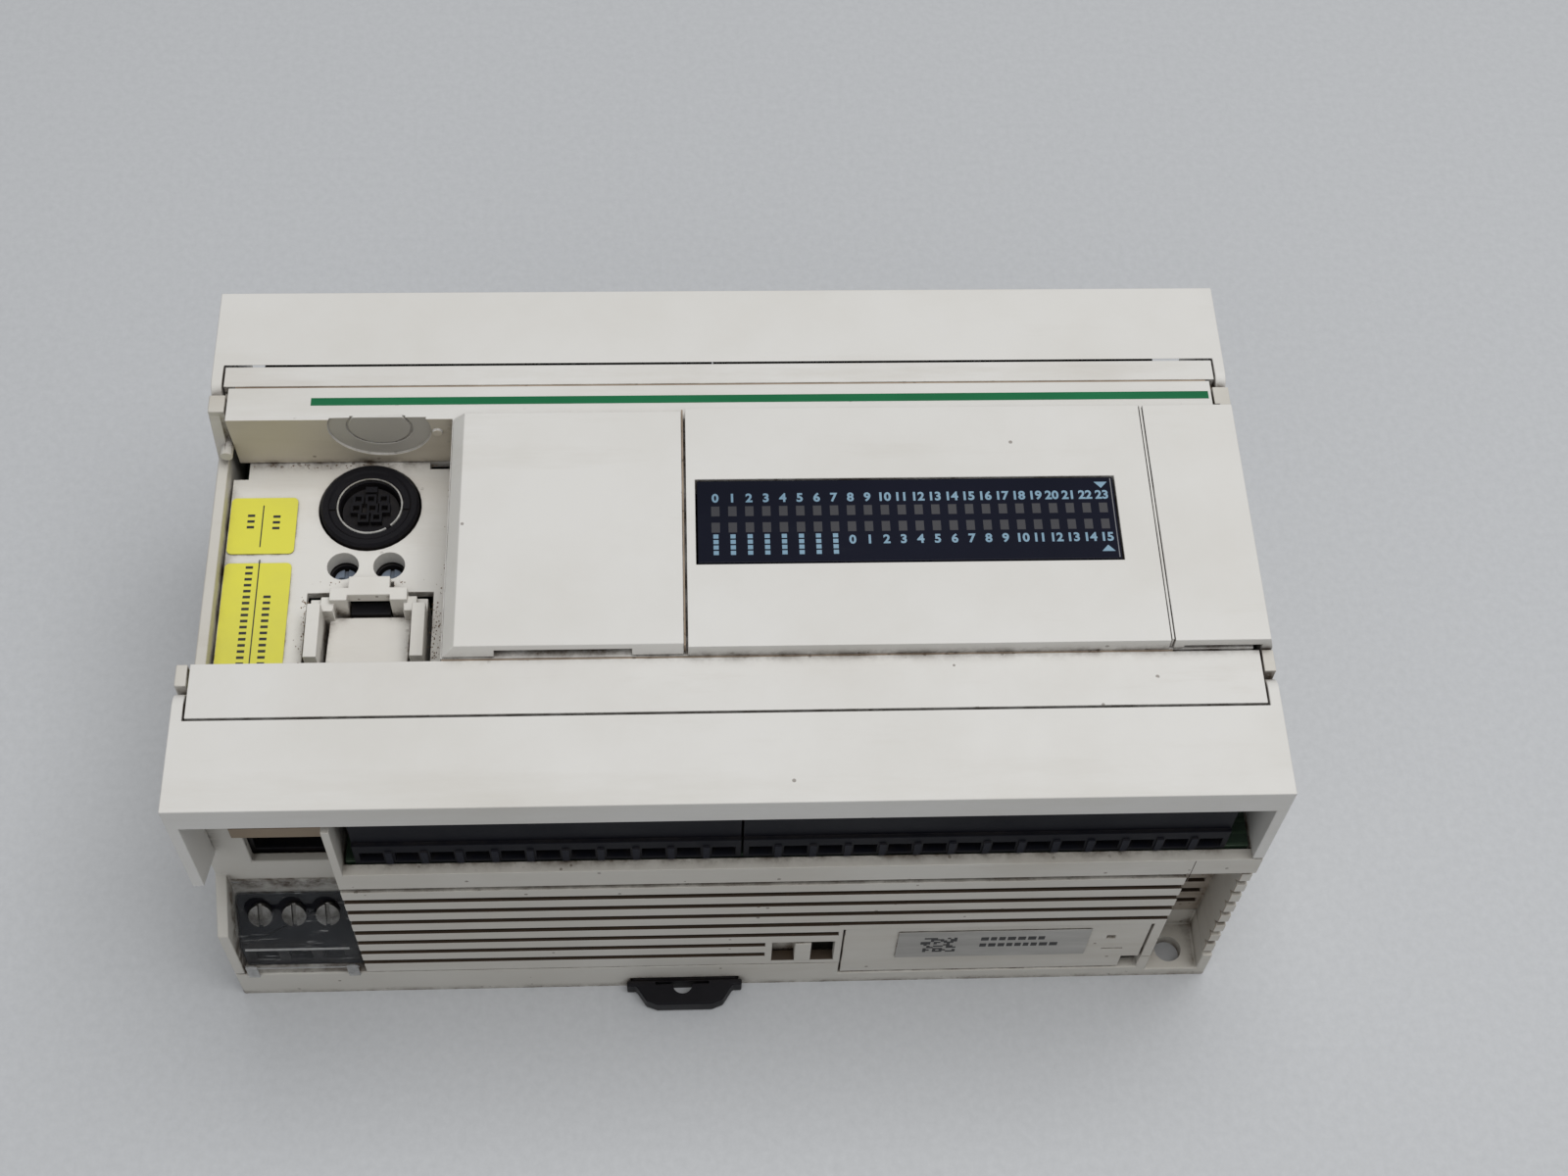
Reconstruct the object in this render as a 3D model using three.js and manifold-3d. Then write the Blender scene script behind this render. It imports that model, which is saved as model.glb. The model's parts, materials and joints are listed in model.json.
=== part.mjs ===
// A compact programmable controller for a cabinet rail, with 24 inputs and 16 relay outputs.
// It lies on its back: +Z points out of the front, -Y is the output and power side, +X runs right.
// The origin is on the back plane, below the middle of the whole object. Everything is in millimetres.
import * as THREE from "three";
import { mergeVertices } from "three/addons/utils/BufferGeometryUtils.js";
import Module from "manifold-3d";

const wasm = await Module();
wasm.setup();

// Driving dimensions: the case.
const LENGTH = 157;
const WIDTH = 90;
const DEPTH = 70;
const FACE_STEP = 2.5; // the centre panel stands this much above the terminal covers
const SIDE = 1.7; // end walls and the covers' ears
const WALL = 1.8; // louvre walls and the rear tray
const SKIN = 1.6; // front pieces
const RETURN = 1.2; // ribs that close a wall's cut edge
const GAP = 0.3; // between pieces that meet
const BASE_HEIGHT = 8;

// Driving dimensions: the back.
const RAIL_WIDTH = 35;
const RAIL_FIT = 0.4;
const CHANNEL_DEPTH = 6.5;
const SEAT_LAND = 0.3; // the middle of the channel floor stands proud, clear of the hooks
const FLANGE = 1.0; // thickness of the rail's edge
const HOOK_REACH = 1.6;
const HOOK_THICK = 1.6;
const LUG_INSET_X = 6;
const LUG_INSET_Y = 3.5;
const LUG_HOLE = 4.4;
const LUG_THICK = 2.5;
const POCKET_WIDTH = 8.5;
const POCKET_REACH = 8;
const POCKET_SLOTS = 8; // louvre slots in the back of each screw pocket
const POCKET_LAND = 0.8; // left solid beside them
const CLIP_X = -7.2;
const CLIP_WIDTH = 16.8;
const CLIP_PROUD = 4.5;
const CLIP_THICK = 1.8;
const CLIP_MOUTH = 2; // how far the slot's lips reach in under the clip
const CLIP_LIP = 0.6;
const CLIP_TRAVEL = 4;
const CLIP_HOOK_HALF = 4.8;
const CLIP_HOOK_STEM = 1.5;
const SCREW_INSET_X = 7.5;
const SCREW_INSET_Y = 17;
const SCREW_RADIUS = 1.2;
const SCREW_LENGTH = 16;

// Driving dimensions: terminals, covers and louvres.
const COVER_REACH = 14.2; // flat width of a terminal cover
const COVER_LIP = 5.5;
const STRIP_WIDTH = 9; // frame strip between the lower cover and the centre panel
const HINGE_RADIUS = 2.7;
const PIN_RADIUS = 1.0;
const BEARING = 2.2; // how far a hinge bearing reaches in from the end
const LEDGE_DROP = 24.4; // from the front down to the ledges that the field wires cross
const LEDGE_HEIGHT = 5;
const LOUVRE_PITCH = 3.95;
const LOUVRE_GAP = 1.35;
const LOUVRE_BAYS = 3;
const TOOTH_NOTCH = 1.5;
const BOARD = 1.6;
const TERMINAL_PITCH = 5.08;
const TERMINAL_HEIGHT = 11.7;
const TERMINAL_DEPTH = 11.4;
const TERMINAL_INSET = 1.6;
const ROW_MARGIN = 3.4; // least room between a terminal row and the end wall
const LEFT_WAYS = 11; // ways of the left output row
const INPUT_SPLIT = -1.58; // where the two input rows meet
const CORNER_RECESS = 7.9; // depth of the lower left corner that holds power and network
const CORNER_WIDTH = 20.8;
const NETWORK_WIDTH = 13;
const NETWORK_HEIGHT = 10;
const SHOULDER_DROP = 4.1; // from the network opening down to the slanted shoulder
const SHOULDER_RISE = 6;
const COVER_DROP = 11.8; // from the shoulder's top to the fold of the clear cover
const COVER_RISE = 10.2; // of the clear cover from its fold to the recessed face
const POWER_PITCH = 5.2;
const POWER_DROP = 3; // from the clear cover down to the power terminals
const CLEAR = 1.2; // thickness of the clear cover

// Driving dimensions: the front.
const GREEN_STRIP = 6.3;
const BAY_WIDTH = 37.3;
const BAY_DEPTH = 15.7;
const BAY_RIM_HEIGHT = 3;
const BAY_LEAN = 1.6; // the bay's upper end wall leans back by this
const BAY_OVERHANG = 1.1; // the bay's upper wall comes forward by this at the front
const BAY_INSET = 0.2; // from the display cover's edge to the bay's right wall
const DISPLAY_WIDTH = 34.8;
const DISPLAY_DEPTH = 9;
const WINDOW_HEIGHT = 14.9;
const LAMP = 1.1;
const LAMP_PITCH = 2.51;
const LAMPS = 24;
const EXPANSION_WIDTH = 14.6;
const EXPANSION_SOCKET = 26;
const PORT_RADIUS = 7.6;
const PORT_RING = 5;
const TRIMMER_HOLE = 2.4;
const TRIMMER_RADIUS = 1.8;
const TRIMMER_SPACING = 7;
const CARTRIDGE_WIDTH = 19;

// Driving dimensions: the battery, its door and the slider beside it.
const DOOR_WIDTH = 48.3;
const DOOR_HEIGHT = 17.5;
const CELL_LENGTH = 25;
const CELL_RADIUS = 7.2;
const HOLDER_WALL = 1.3;
const SLIDER_WIDTH = 9.9;

// Values that follow from the driving dimensions.
const HX = LENGTH / 2;
const HY = WIDTH / 2;
const COVER_Z = DEPTH - FACE_STEP;
const END = HX - SIDE; // inner face of an end wall
const INNER = END - GAP; // as far as pieces between the end walls reach
const CHANNEL_HALF = RAIL_WIDTH / 2 + RAIL_FIT;
const WALLS_Z = BASE_HEIGHT + GAP;
const LUG_X = HX - LUG_INSET_X;
const LUG_Y = HY - LUG_INSET_Y;
const POCKET_SIDE = END - POCKET_WIDTH;
const POCKET_BACK = HY - POCKET_REACH;
const LEDGE_TOP = DEPTH - LEDGE_DROP;
const LEDGE_LOW = LEDGE_TOP - LEDGE_HEIGHT;
const LOUVRES = Math.floor((LEDGE_LOW - WALLS_Z) / LOUVRE_PITCH);
const INSIDE_LOUVRE = HY - WALL - GAP;
const SEAM = HY - COVER_REACH; // inner edge of the covers
const FRAME_EDGE = SEAM - GAP;
const HINGE_Y = SEAM - 2.5;
const HINGE_Z = COVER_Z - HINGE_RADIUS;
const ARM_LOW = HINGE_Z - HINGE_RADIUS;
const BOARD_TOP = LEDGE_TOP + 0.4;
const BOARD_LOW = BOARD_TOP - BOARD;
const ON_BOARD = BOARD_TOP + GAP;
const TERMINAL_FACE = HY - TERMINAL_INSET;
const PLATE_LOW = COVER_Z - SKIN;
const SCREW_X = HX - SCREW_INSET_X;
const SCREW_Y = HY - SCREW_INSET_Y;

// The front: a bay at the left, the display cover, the lamp window and the expansion cover.
const FRAME_STRIP_LOW = -FRAME_EDGE + STRIP_WIDTH;
const GREEN_TOP = FRAME_EDGE - 4;
const PANEL_LOW = FRAME_STRIP_LOW;
const PANEL_HIGH = GREEN_TOP - GREEN_STRIP;
const PANEL_MIDDLE = (PANEL_LOW + PANEL_HIGH) / 2;
const BEZEL_LEFT = -END + 1.1;
const BEZEL_RIGHT = END - 1.1;
const BAY_RIGHT = -HX + BAY_WIDTH;
const BAY_FLOOR = DEPTH - BAY_DEPTH;
const BAY_RIM = BAY_FLOOR + BAY_RIM_HEIGHT;
const DISPLAY_RIGHT = BAY_RIGHT + DISPLAY_WIDTH;
const DISPLAY_FLOOR = DEPTH - DISPLAY_DEPTH;
const DISPLAY_RECESS = [BAY_RIGHT + 2.3, DISPLAY_RIGHT - 2.1, PANEL_LOW + 2.1, PANEL_HIGH - 2.1];
const EXPANSION_LEFT = HX - EXPANSION_WIDTH;
const LAMP_FIRST = DISPLAY_RIGHT + 4.6;
const LAMP_ROWS = [PANEL_MIDDLE + 2.31, PANEL_MIDDLE - 0.45];
const WINDOW = {
  left: LAMP_FIRST - 2.95,
  right: LAMP_FIRST + (LAMPS - 1) * LAMP_PITCH + 2.17,
  low: PANEL_MIDDLE - 7.05,
  high: PANEL_MIDDLE - 7.05 + WINDOW_HEIGHT,
};
const PORT = { x: BAY_RIGHT - 13.8, y: PANEL_HIGH - 7.1 };
const TRIMMER = { x: PORT.x, y: PORT.y - 10.6, top: BAY_FLOOR - 3.9 };
const CARTRIDGE = { x: PORT.x + 1, top: TRIMMER.y - 4.8 };
const RIBS = [BAY_RIGHT + 2.2, EXPANSION_LEFT - 3.9];

// The recessed lower left corner: power terminals under a slanted shoulder, and the network socket.
const CORNER_Y = HY - CORNER_RECESS;
const CORNER_X = -HX + CORNER_WIDTH;
const NETWORK_LEFT = -HX + 6.3;
const NETWORK_HIGH = LEDGE_TOP - 2;
const NETWORK = {
  left: NETWORK_LEFT,
  right: NETWORK_LEFT + NETWORK_WIDTH,
  low: NETWORK_HIGH - NETWORK_HEIGHT,
  high: NETWORK_HIGH,
};
const SHOULDER_HIGH = NETWORK.low - SHOULDER_DROP;
const SHOULDER_LOW = SHOULDER_HIGH - SHOULDER_RISE;
const COVER_FOLD = SHOULDER_HIGH - COVER_DROP;
const COVER_LOW = BASE_HEIGHT + 2;
const POWER_X = -HX + 10.9;

// Terminal rows: as many ways as fit between the end walls.
const OUTPUT_LEFT = CORNER_X + 3.1;
const OUTPUT_WAYS = Math.floor((INNER - ROW_MARGIN - OUTPUT_LEFT - GAP) / TERMINAL_PITCH);
const OUTPUT_SPLIT = OUTPUT_LEFT + LEFT_WAYS * TERMINAL_PITCH;
const INPUT_WAYS = Math.floor((INNER - ROW_MARGIN + INPUT_SPLIT) / TERMINAL_PITCH);

// Boards, from the back to the front.
const POWER_BOARD_TOP = BASE_HEIGHT + 5.6;
const POWER_BOARD_X = SCREW_X - 7;
const LOGIC_TOP = NETWORK.low - 2.3;
const LOGIC_RIGHT = -HX + 54.5;
const LOGIC_HIGH = POCKET_BACK - SKIN - 1.4;

// The rail clip and its slot in the rear tray.
const CLIP_LEFT = CLIP_X - CLIP_WIDTH / 2;
const CLIP_RIGHT = CLIP_X + CLIP_WIDTH / 2;
const CLIP_LOW = CLIP_LIP + GAP;
const CLIP_TOP = CLIP_LOW + CLIP_THICK;
const HOOK_TOP = CHANNEL_DEPTH - FLANGE - GAP;
const HOOK_LOW = HOOK_TOP - HOOK_THICK;

// The battery, its holder and door, and the slider.
const DOOR_RIGHT = POCKET_SIDE - 2;
const DOOR = { left: DOOR_RIGHT - DOOR_WIDTH, right: DOOR_RIGHT, low: 3.9, high: 3.9 + DOOR_HEIGHT };
const CELL_LEFT = DOOR.left + 6;
const CELL = { x0: CELL_LEFT, x1: CELL_LEFT + CELL_LENGTH, y: -HY + 12.4, z: DOOR.low + 8.7 };
const HOLDER_BACK = CELL.y + CELL_RADIUS + HOLDER_WALL;
const SLIDER_RIGHT = DOOR.left - 1.4;
const SLIDER = { left: SLIDER_RIGHT - SLIDER_WIDTH, right: SLIDER_RIGHT, low: 9.6, high: 17 };

const FINISH = {
  case: { color: 0xd6d5d0, roughness: 0.55, metalness: 0 },
  board: { color: 0x2f6b45, roughness: 0.5, metalness: 0 },
  terminal: { color: 0x1e202d, roughness: 0.45, metalness: 0 },
  black: { color: 0x141416, roughness: 0.5, metalness: 0 },
  window: { color: 0x1c2030, roughness: 0.15, metalness: 0 },
  clear: { color: 0x8a8c8c, roughness: 0.2, metalness: 0 },
  steel: { color: 0xb8b8ba, roughness: 0.3, metalness: 1 },
  yellow: { color: 0xe1dc3c, roughness: 0.6, metalness: 0 },
  silver: { color: 0xa9a9a8, roughness: 0.5, metalness: 0 },
  trimmer: { color: 0x5c6674, roughness: 0.35, metalness: 0 },
  relay: { color: 0x2a2c30, roughness: 0.5, metalness: 0 },
  copper: { color: 0xa8713c, roughness: 0.4, metalness: 0.3 },
};

// A closed geometry as a solid that can be joined and cut.
function solid(geometry) {
  const bare = geometry.index ? geometry.toNonIndexed() : geometry.clone();
  bare.deleteAttribute("normal");
  bare.deleteAttribute("uv");
  const welded = mergeVertices(bare, 1e-4);
  return new wasm.Manifold(
    new wasm.Mesh({
      numProp: 3,
      vertProperties: welded.attributes.position.array,
      triVerts: new Uint32Array(welded.index.array),
    }),
  );
}

const join = (...solids) => solids.reduce((sum, next) => sum.add(next));
const cut = (body, ...tools) => tools.reduce((left, tool) => left.subtract(tool), body);

// A box from its lowest to its highest corner.
function block(x0, x1, y0, y1, z0, z1) {
  const box = new THREE.BoxGeometry(x1 - x0, y1 - y0, z1 - z0);
  return solid(box.translate((x0 + x1) / 2, (y0 + y1) / 2, (z0 + z1) / 2));
}

// A box given on the +X +Y quarter and mirrored into another one: sx and sy are 1 or -1.
function cornerBlock(sx, sy, x0, x1, y0, y1, z0, z1) {
  const [left, right] = [sx * x0, sx * x1].sort((a, b) => a - b);
  const [low, high] = [sy * y0, sy * y1].sort((a, b) => a - b);
  return block(left, right, low, high, z0, z1);
}

// A box whose top face is smaller than its bottom face.
function frustum(low, high, z0, z1) {
  const box = new THREE.BoxGeometry(2, 2, 2);
  const points = box.attributes.position;
  for (let i = 0; i < points.count; i++) {
    const face = points.getZ(i) < 0 ? low : high;
    const x = points.getX(i) < 0 ? face[0] : face[1];
    const y = points.getY(i) < 0 ? face[2] : face[3];
    points.setXYZ(i, x, y, points.getZ(i) < 0 ? z0 : z1);
  }
  return solid(box);
}

function outlineShape(outline) {
  return new THREE.Shape(outline.map(([u, v]) => new THREE.Vector2(u, v)));
}

// An outline of [y, z] points, extruded along X.
function alongX(outline, x0, x1) {
  const slab = new THREE.ExtrudeGeometry(outlineShape(outline), { depth: x1 - x0, bevelEnabled: false });
  const turn = new THREE.Matrix4().makeBasis(
    new THREE.Vector3(0, 1, 0),
    new THREE.Vector3(0, 0, 1),
    new THREE.Vector3(1, 0, 0),
  );
  return solid(slab.applyMatrix4(turn).translate(x0, 0, 0));
}

// An outline of [x, z] points, extruded along Y.
function alongY(outline, y0, y1) {
  const slab = new THREE.ExtrudeGeometry(outlineShape(outline), { depth: y1 - y0, bevelEnabled: false });
  const turn = new THREE.Matrix4().makeBasis(
    new THREE.Vector3(1, 0, 0),
    new THREE.Vector3(0, 0, 1),
    new THREE.Vector3(0, -1, 0),
  );
  return solid(slab.applyMatrix4(turn).translate(0, y1, 0));
}

// An outline of [x, y] points, extruded along Z.
function alongZ(outline, z0, z1) {
  const slab = new THREE.ExtrudeGeometry(outlineShape(outline), { depth: z1 - z0, bevelEnabled: false });
  return solid(slab.translate(0, 0, z0));
}

function rodZ(radius, x, y, z0, z1, sides = 16) {
  const rod = new THREE.CylinderGeometry(radius, radius, z1 - z0, sides);
  return solid(rod.rotateX(Math.PI / 2).translate(x, y, (z0 + z1) / 2));
}

function rodY(radius, x, z, y0, y1, sides = 16) {
  const rod = new THREE.CylinderGeometry(radius, radius, y1 - y0, sides);
  return solid(rod.translate(x, (y0 + y1) / 2, z));
}

function rodX(radius, y, z, x0, x1, sides = 16) {
  const rod = new THREE.CylinderGeometry(radius, radius, x1 - x0, sides);
  return solid(rod.rotateZ(Math.PI / 2).translate((x0 + x1) / 2, y, z));
}

const controller = new THREE.Group();
controller.position.y = CLIP_PROUD / 2;

// Adds one piece to the object.
function piece(name, body, finish) {
  const raw = body.getMesh();
  const geometry = new THREE.BufferGeometry();
  geometry.setAttribute("position", new THREE.BufferAttribute(new Float32Array(raw.vertProperties), 3));
  geometry.setIndex(new THREE.BufferAttribute(new Uint32Array(raw.triVerts), 1));
  geometry.computeVertexNormals();
  const mesh = new THREE.Mesh(geometry, new THREE.MeshStandardMaterial(FINISH[finish]));
  mesh.name = name;
  controller.add(mesh);
}

// Rear tray: two long troughs either side of the rail channel, with the screw lugs at two corners.
function rearBase() {
  const floor = 2;
  let tray = cut(
    block(-HX, HX, -HY, HY, 0, BASE_HEIGHT),
    block(-INNER, INNER, -HY + WALL, HY - WALL, floor, BASE_HEIGHT + 1),
  );
  const channelRoof = CHANNEL_HALF + SKIN;
  tray = join(tray, block(-HX, HX, -channelRoof, channelRoof, 0, BASE_HEIGHT));
  const slotRoof = HOOK_TOP + GAP + 1.2;
  const slotSide = CLIP_LEFT - GAP - WALL;
  tray = join(tray, block(slotSide, CLIP_RIGHT + GAP + WALL, -HY, -CHANNEL_HALF, 0, slotRoof));
  const land = CHANNEL_HALF - HOOK_REACH - 2 * GAP;
  tray = join(
    cut(tray, block(-HX - 1, HX + 1, -CHANNEL_HALF, CHANNEL_HALF, -1, CHANNEL_DEPTH + SEAT_LAND)),
    block(-HX, HX, -land, land, CHANNEL_DEPTH, BASE_HEIGHT),
  );
  for (const sx of [-1, 1]) {
    const lug = [sx * LUG_X, -sx * LUG_Y];
    tray = join(
      tray,
      cornerBlock(sx, -sx, POCKET_SIDE - SKIN, HX, POCKET_BACK - SKIN, HY, 0, BASE_HEIGHT),
    );
    tray = cut(
      tray,
      cornerBlock(sx, -sx, POCKET_SIDE, END, POCKET_BACK, HY + 1, LUG_THICK, BASE_HEIGHT + 1),
      rodZ(LUG_HOLE / 2, ...lug, -1, LUG_THICK + 1, 24),
    );
  }
  for (const x of [-SCREW_X, SCREW_X]) {
    for (const y of [-SCREW_Y, SCREW_Y]) {
      tray = join(tray, rodZ(4.2, x, y, 0, BASE_HEIGHT));
      tray = cut(tray, rodZ(3.2, x, y, -1, 2.6), rodZ(1.6, x, y, 2, BASE_HEIGHT + 1));
    }
  }
  for (const x of [-LUG_X + 12.5, CLIP_X, LUG_X - 12.5]) {
    const lip = block(x - 6, x + 6, CHANNEL_HALF - HOOK_REACH, CHANNEL_HALF + 0.5, HOOK_LOW, HOOK_TOP);
    tray = join(tray, lip);
  }
  const hookRun = CHANNEL_HALF + CLIP_HOOK_STEM + CLIP_TRAVEL + 2 * GAP;
  return cut(
    tray,
    block(CLIP_LEFT - GAP, CLIP_RIGHT + GAP, -HY - 1, -CHANNEL_HALF + 1, CLIP_LIP, CLIP_TOP + GAP),
    block(CLIP_LEFT + CLIP_MOUTH, CLIP_RIGHT - CLIP_MOUTH, -HY - 1, -CHANNEL_HALF + 1, -1, CLIP_LIP + 0.1),
    block(
      CLIP_X - CLIP_HOOK_HALF - GAP,
      CLIP_X + CLIP_HOOK_HALF + GAP,
      -hookRun,
      -CHANNEL_HALF + 1,
      CLIP_LIP,
      HOOK_TOP + GAP,
    ),
    block(DOOR.left - GAP, DOOR.right + GAP, -HY - 1, -HY + WALL + 1, DOOR.low - GAP, BASE_HEIGHT + 1),
  );
}

// Rail clip: a flat slide with a hook at the rail end and a waisted pull outside the case.
function railClip() {
  const plate = block(CLIP_LEFT, CLIP_RIGHT, -HY - 0.6, -CHANNEL_HALF - GAP, CLIP_LOW, CLIP_TOP);
  const back = -CHANNEL_HALF - GAP;
  const rib = block(
    CLIP_LEFT + CLIP_MOUTH + GAP,
    CLIP_RIGHT - CLIP_MOUTH - GAP,
    -HY - 0.6,
    back,
    0.1,
    CLIP_LOW + 0.1,
  );
  const [left, right] = [CLIP_X - CLIP_HOOK_HALF, CLIP_X + CLIP_HOOK_HALF];
  const stem = block(left, right, back - CLIP_HOOK_STEM, back, CLIP_LOW, HOOK_TOP);
  const lip = block(left, right, back - 0.1, -CHANNEL_HALF + HOOK_REACH, HOOK_LOW, HOOK_TOP);
  const shoulder = block(CLIP_X - 9.3, CLIP_X + 9.3, -HY - 1.3, -HY - GAP, 0.1, 3);
  const outline = [
    [CLIP_X - 8, -HY - 1],
    [CLIP_X - 6.2, -HY - CLIP_PROUD + 0.7],
    [CLIP_X - 4.4, -HY - CLIP_PROUD],
    [CLIP_X + 4.4, -HY - CLIP_PROUD],
    [CLIP_X + 6.2, -HY - CLIP_PROUD + 0.7],
    [CLIP_X + 8, -HY - 1],
  ];
  const pull = alongZ(outline, 0.1, 3);
  // A screwdriver's slot, with a half-round notch below it.
  const slotY = -HY - 1.1;
  const notch = cut(
    rodZ(1.6, CLIP_X - 0.3, slotY, -1, 4, 20),
    block(CLIP_X - 3, CLIP_X + 3, slotY, slotY + 2, -2, 5),
  );
  const slot = block(CLIP_X - 4.7, CLIP_X + 4, slotY, slotY + 0.5, -1, 4);
  return cut(join(plate, rib, stem, lip, shoulder, pull), slot, notch);
}

// One end wall. lower and upper are the outline's [y, z] points below and above the front covers' ears,
// and centreTop and lean say how high it is between them and how far its upper corner leans back.
function endWall(sx, lower, upper, centreTop, lean) {
  const armEnd = HINGE_Y - HINGE_RADIUS - GAP;
  const outline = [
    ...lower,
    [-CORNER_Y, ARM_LOW - GAP],
    [-armEnd, ARM_LOW - GAP],
    [-armEnd, COVER_Z],
    [PANEL_LOW - GAP, COVER_Z],
    [PANEL_LOW - GAP, centreTop],
    [PANEL_HIGH + GAP, centreTop],
    [PANEL_HIGH + GAP + lean, COVER_Z - 1],
    [PANEL_HIGH + GAP + lean, COVER_Z],
    [armEnd, COVER_Z],
    [armEnd, ARM_LOW - GAP],
    [CORNER_Y, ARM_LOW - GAP],
    ...upper,
  ];
  let wall = alongX(outline, sx < 0 ? -HX : END, sx < 0 ? -END : HX);
  for (const sy of [-1, 1]) {
    // Bearing for a terminal cover's pin.
    const near = INNER - BEARING;
    const bearing = [HINGE_Y - 2.6, HINGE_Y + 1.6, ARM_LOW - 4];
    const run = sx < 0 ? [-END, 1 - near] : [near - 1, END];
    const hole = rodX(PIN_RADIUS + GAP, sy * HINGE_Y, HINGE_Z, ...run, 20);
    wall = join(
      wall,
      cornerBlock(sx, sy, near, INNER, ...bearing, PLATE_LOW - GAP),
      cornerBlock(sx, sy, near, END + 0.5, ...bearing, ARM_LOW - GAP),
    );
    // Post for a case screw.
    const post = [SCREW_Y - 4, SCREW_Y + 4, WALLS_Z + SKIN, SCREW_LENGTH + 4];
    wall = join(cut(wall, hole), cornerBlock(sx, sy, SCREW_X - 4, END + 0.5, ...post));
    wall = cut(wall, rodZ(SCREW_RADIUS + GAP, sx * SCREW_X, sy * SCREW_Y, BASE_HEIGHT, SCREW_LENGTH + 1));
  }
  // Pad that closes the corner beside the green strip.
  const padY = [PANEL_HIGH + BAY_LEAN + GAP, armEnd];
  wall = join(wall, cornerBlock(sx, 1, BEZEL_RIGHT + GAP, END + 0.5, ...padY, ARM_LOW - GAP, COVER_Z));
  // Walls of the mounting screw's pocket, at the lower right and the upper left.
  const top = BOARD_LOW - GAP;
  const wallY = [POCKET_BACK - SKIN, POCKET_BACK];
  wall = join(
    wall,
    cornerBlock(sx, -sx, POCKET_SIDE - SKIN, END + 0.5, ...wallY, WALLS_Z, top),
    cornerBlock(sx, -sx, POCKET_SIDE - SKIN, POCKET_SIDE, POCKET_BACK - 1, INSIDE_LOUVRE, WALLS_Z, top),
  );
  for (let i = 0; i < POCKET_SLOTS; i++) {
    const z = LEDGE_LOW - i * LOUVRE_PITCH;
    const slotX = [POCKET_SIDE + POCKET_LAND, END - POCKET_LAND];
    const slotY = [POCKET_BACK - SKIN - 1, POCKET_BACK + 1];
    wall = cut(wall, cornerBlock(sx, -sx, ...slotX, ...slotY, z - LOUVRE_GAP, z));
  }
  return wall;
}

// Upper end of an end wall's outline, below the ledge and the cover's ear.
const upperEnd = [
  [CORNER_Y, LEDGE_TOP],
  [INSIDE_LOUVRE, LEDGE_TOP],
  [INSIDE_LOUVRE, LEDGE_LOW - GAP],
  [HY, LEDGE_LOW - GAP],
  [HY, WALLS_Z],
];

// The lower left corner steps back under a slanted shoulder, and its recessed face holds the network socket.
function leftEndWall() {
  const lower = [
    [-HY, WALLS_Z],
    [-HY, SHOULDER_LOW],
    [-CORNER_Y, SHOULDER_HIGH],
  ];
  const wall = endWall(-1, lower, upperEnd, BAY_RIM, BAY_LEAN);
  const face = block(-END - 0.5, CORNER_X + RETURN, -CORNER_Y, -CORNER_Y + SKIN, WALLS_Z, ARM_LOW - GAP);
  const socket = block(NETWORK.left, NETWORK.right, -HY, 0, NETWORK.low, NETWORK.high);
  const lidPivot = rodY(0.95, -END + 0.1, BAY_RIM + 2.4, PANEL_HIGH - 1, PANEL_HIGH + 2.5, 14);
  const pivotRoot = block(-END - 0.5, -END + 1, PANEL_HIGH + 1.9, PANEL_HIGH + 3, BAY_RIM, BAY_RIM + 5);
  return join(wall, cut(face, socket), lidPivot, pivotRoot);
}

// The right end wall has a saw-toothed lower edge, one tooth to a louvre.
function rightEndWall() {
  const edge = -HY + 0.6;
  const lower = [[edge, WALLS_Z]];
  for (let i = LOUVRES - 1; i >= 0; i--) {
    const top = LEDGE_LOW - GAP - i * LOUVRE_PITCH;
    lower.push([edge, top - TOOTH_NOTCH], [edge + 0.9, top - TOOTH_NOTCH], [edge, top]);
  }
  lower.push([-INSIDE_LOUVRE, LEDGE_LOW - GAP], [-INSIDE_LOUVRE, LEDGE_TOP], [-CORNER_Y, LEDGE_TOP]);
  return endWall(1, lower, upperEnd, LEDGE_TOP, 0);
}

// A louvred wall with the ledge that the field wires pass over, on the output side when sy is -1.
function louvreWall(sy, x0, x1, ledge0, ledge1) {
  let wall = join(
    cornerBlock(1, sy, x0, x1, HY - WALL, HY, WALLS_Z, LEDGE_LOW + 0.5),
    cornerBlock(1, sy, ledge0, ledge1, HY - WALL, HY, LEDGE_LOW, LEDGE_TOP),
  );
  const bay = (x1 - x0) / LOUVRE_BAYS;
  for (let i = 0; i < LOUVRES; i++) {
    const z = LEDGE_LOW - i * LOUVRE_PITCH;
    wall = cut(wall, cornerBlock(1, sy, x0 + RETURN, x1 + 1, HY - WALL / 2, HY + 1, z - LOUVRE_GAP, z));
    for (let j = 0; j < LOUVRE_BAYS; j++) {
      const left = x0 + j * bay + RETURN;
      const right = left + bay - 2 * RETURN;
      wall = cut(wall, cornerBlock(1, sy, left, right, 0, HY + 1, z - LOUVRE_GAP, z));
    }
  }
  return wall;
}

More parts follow.
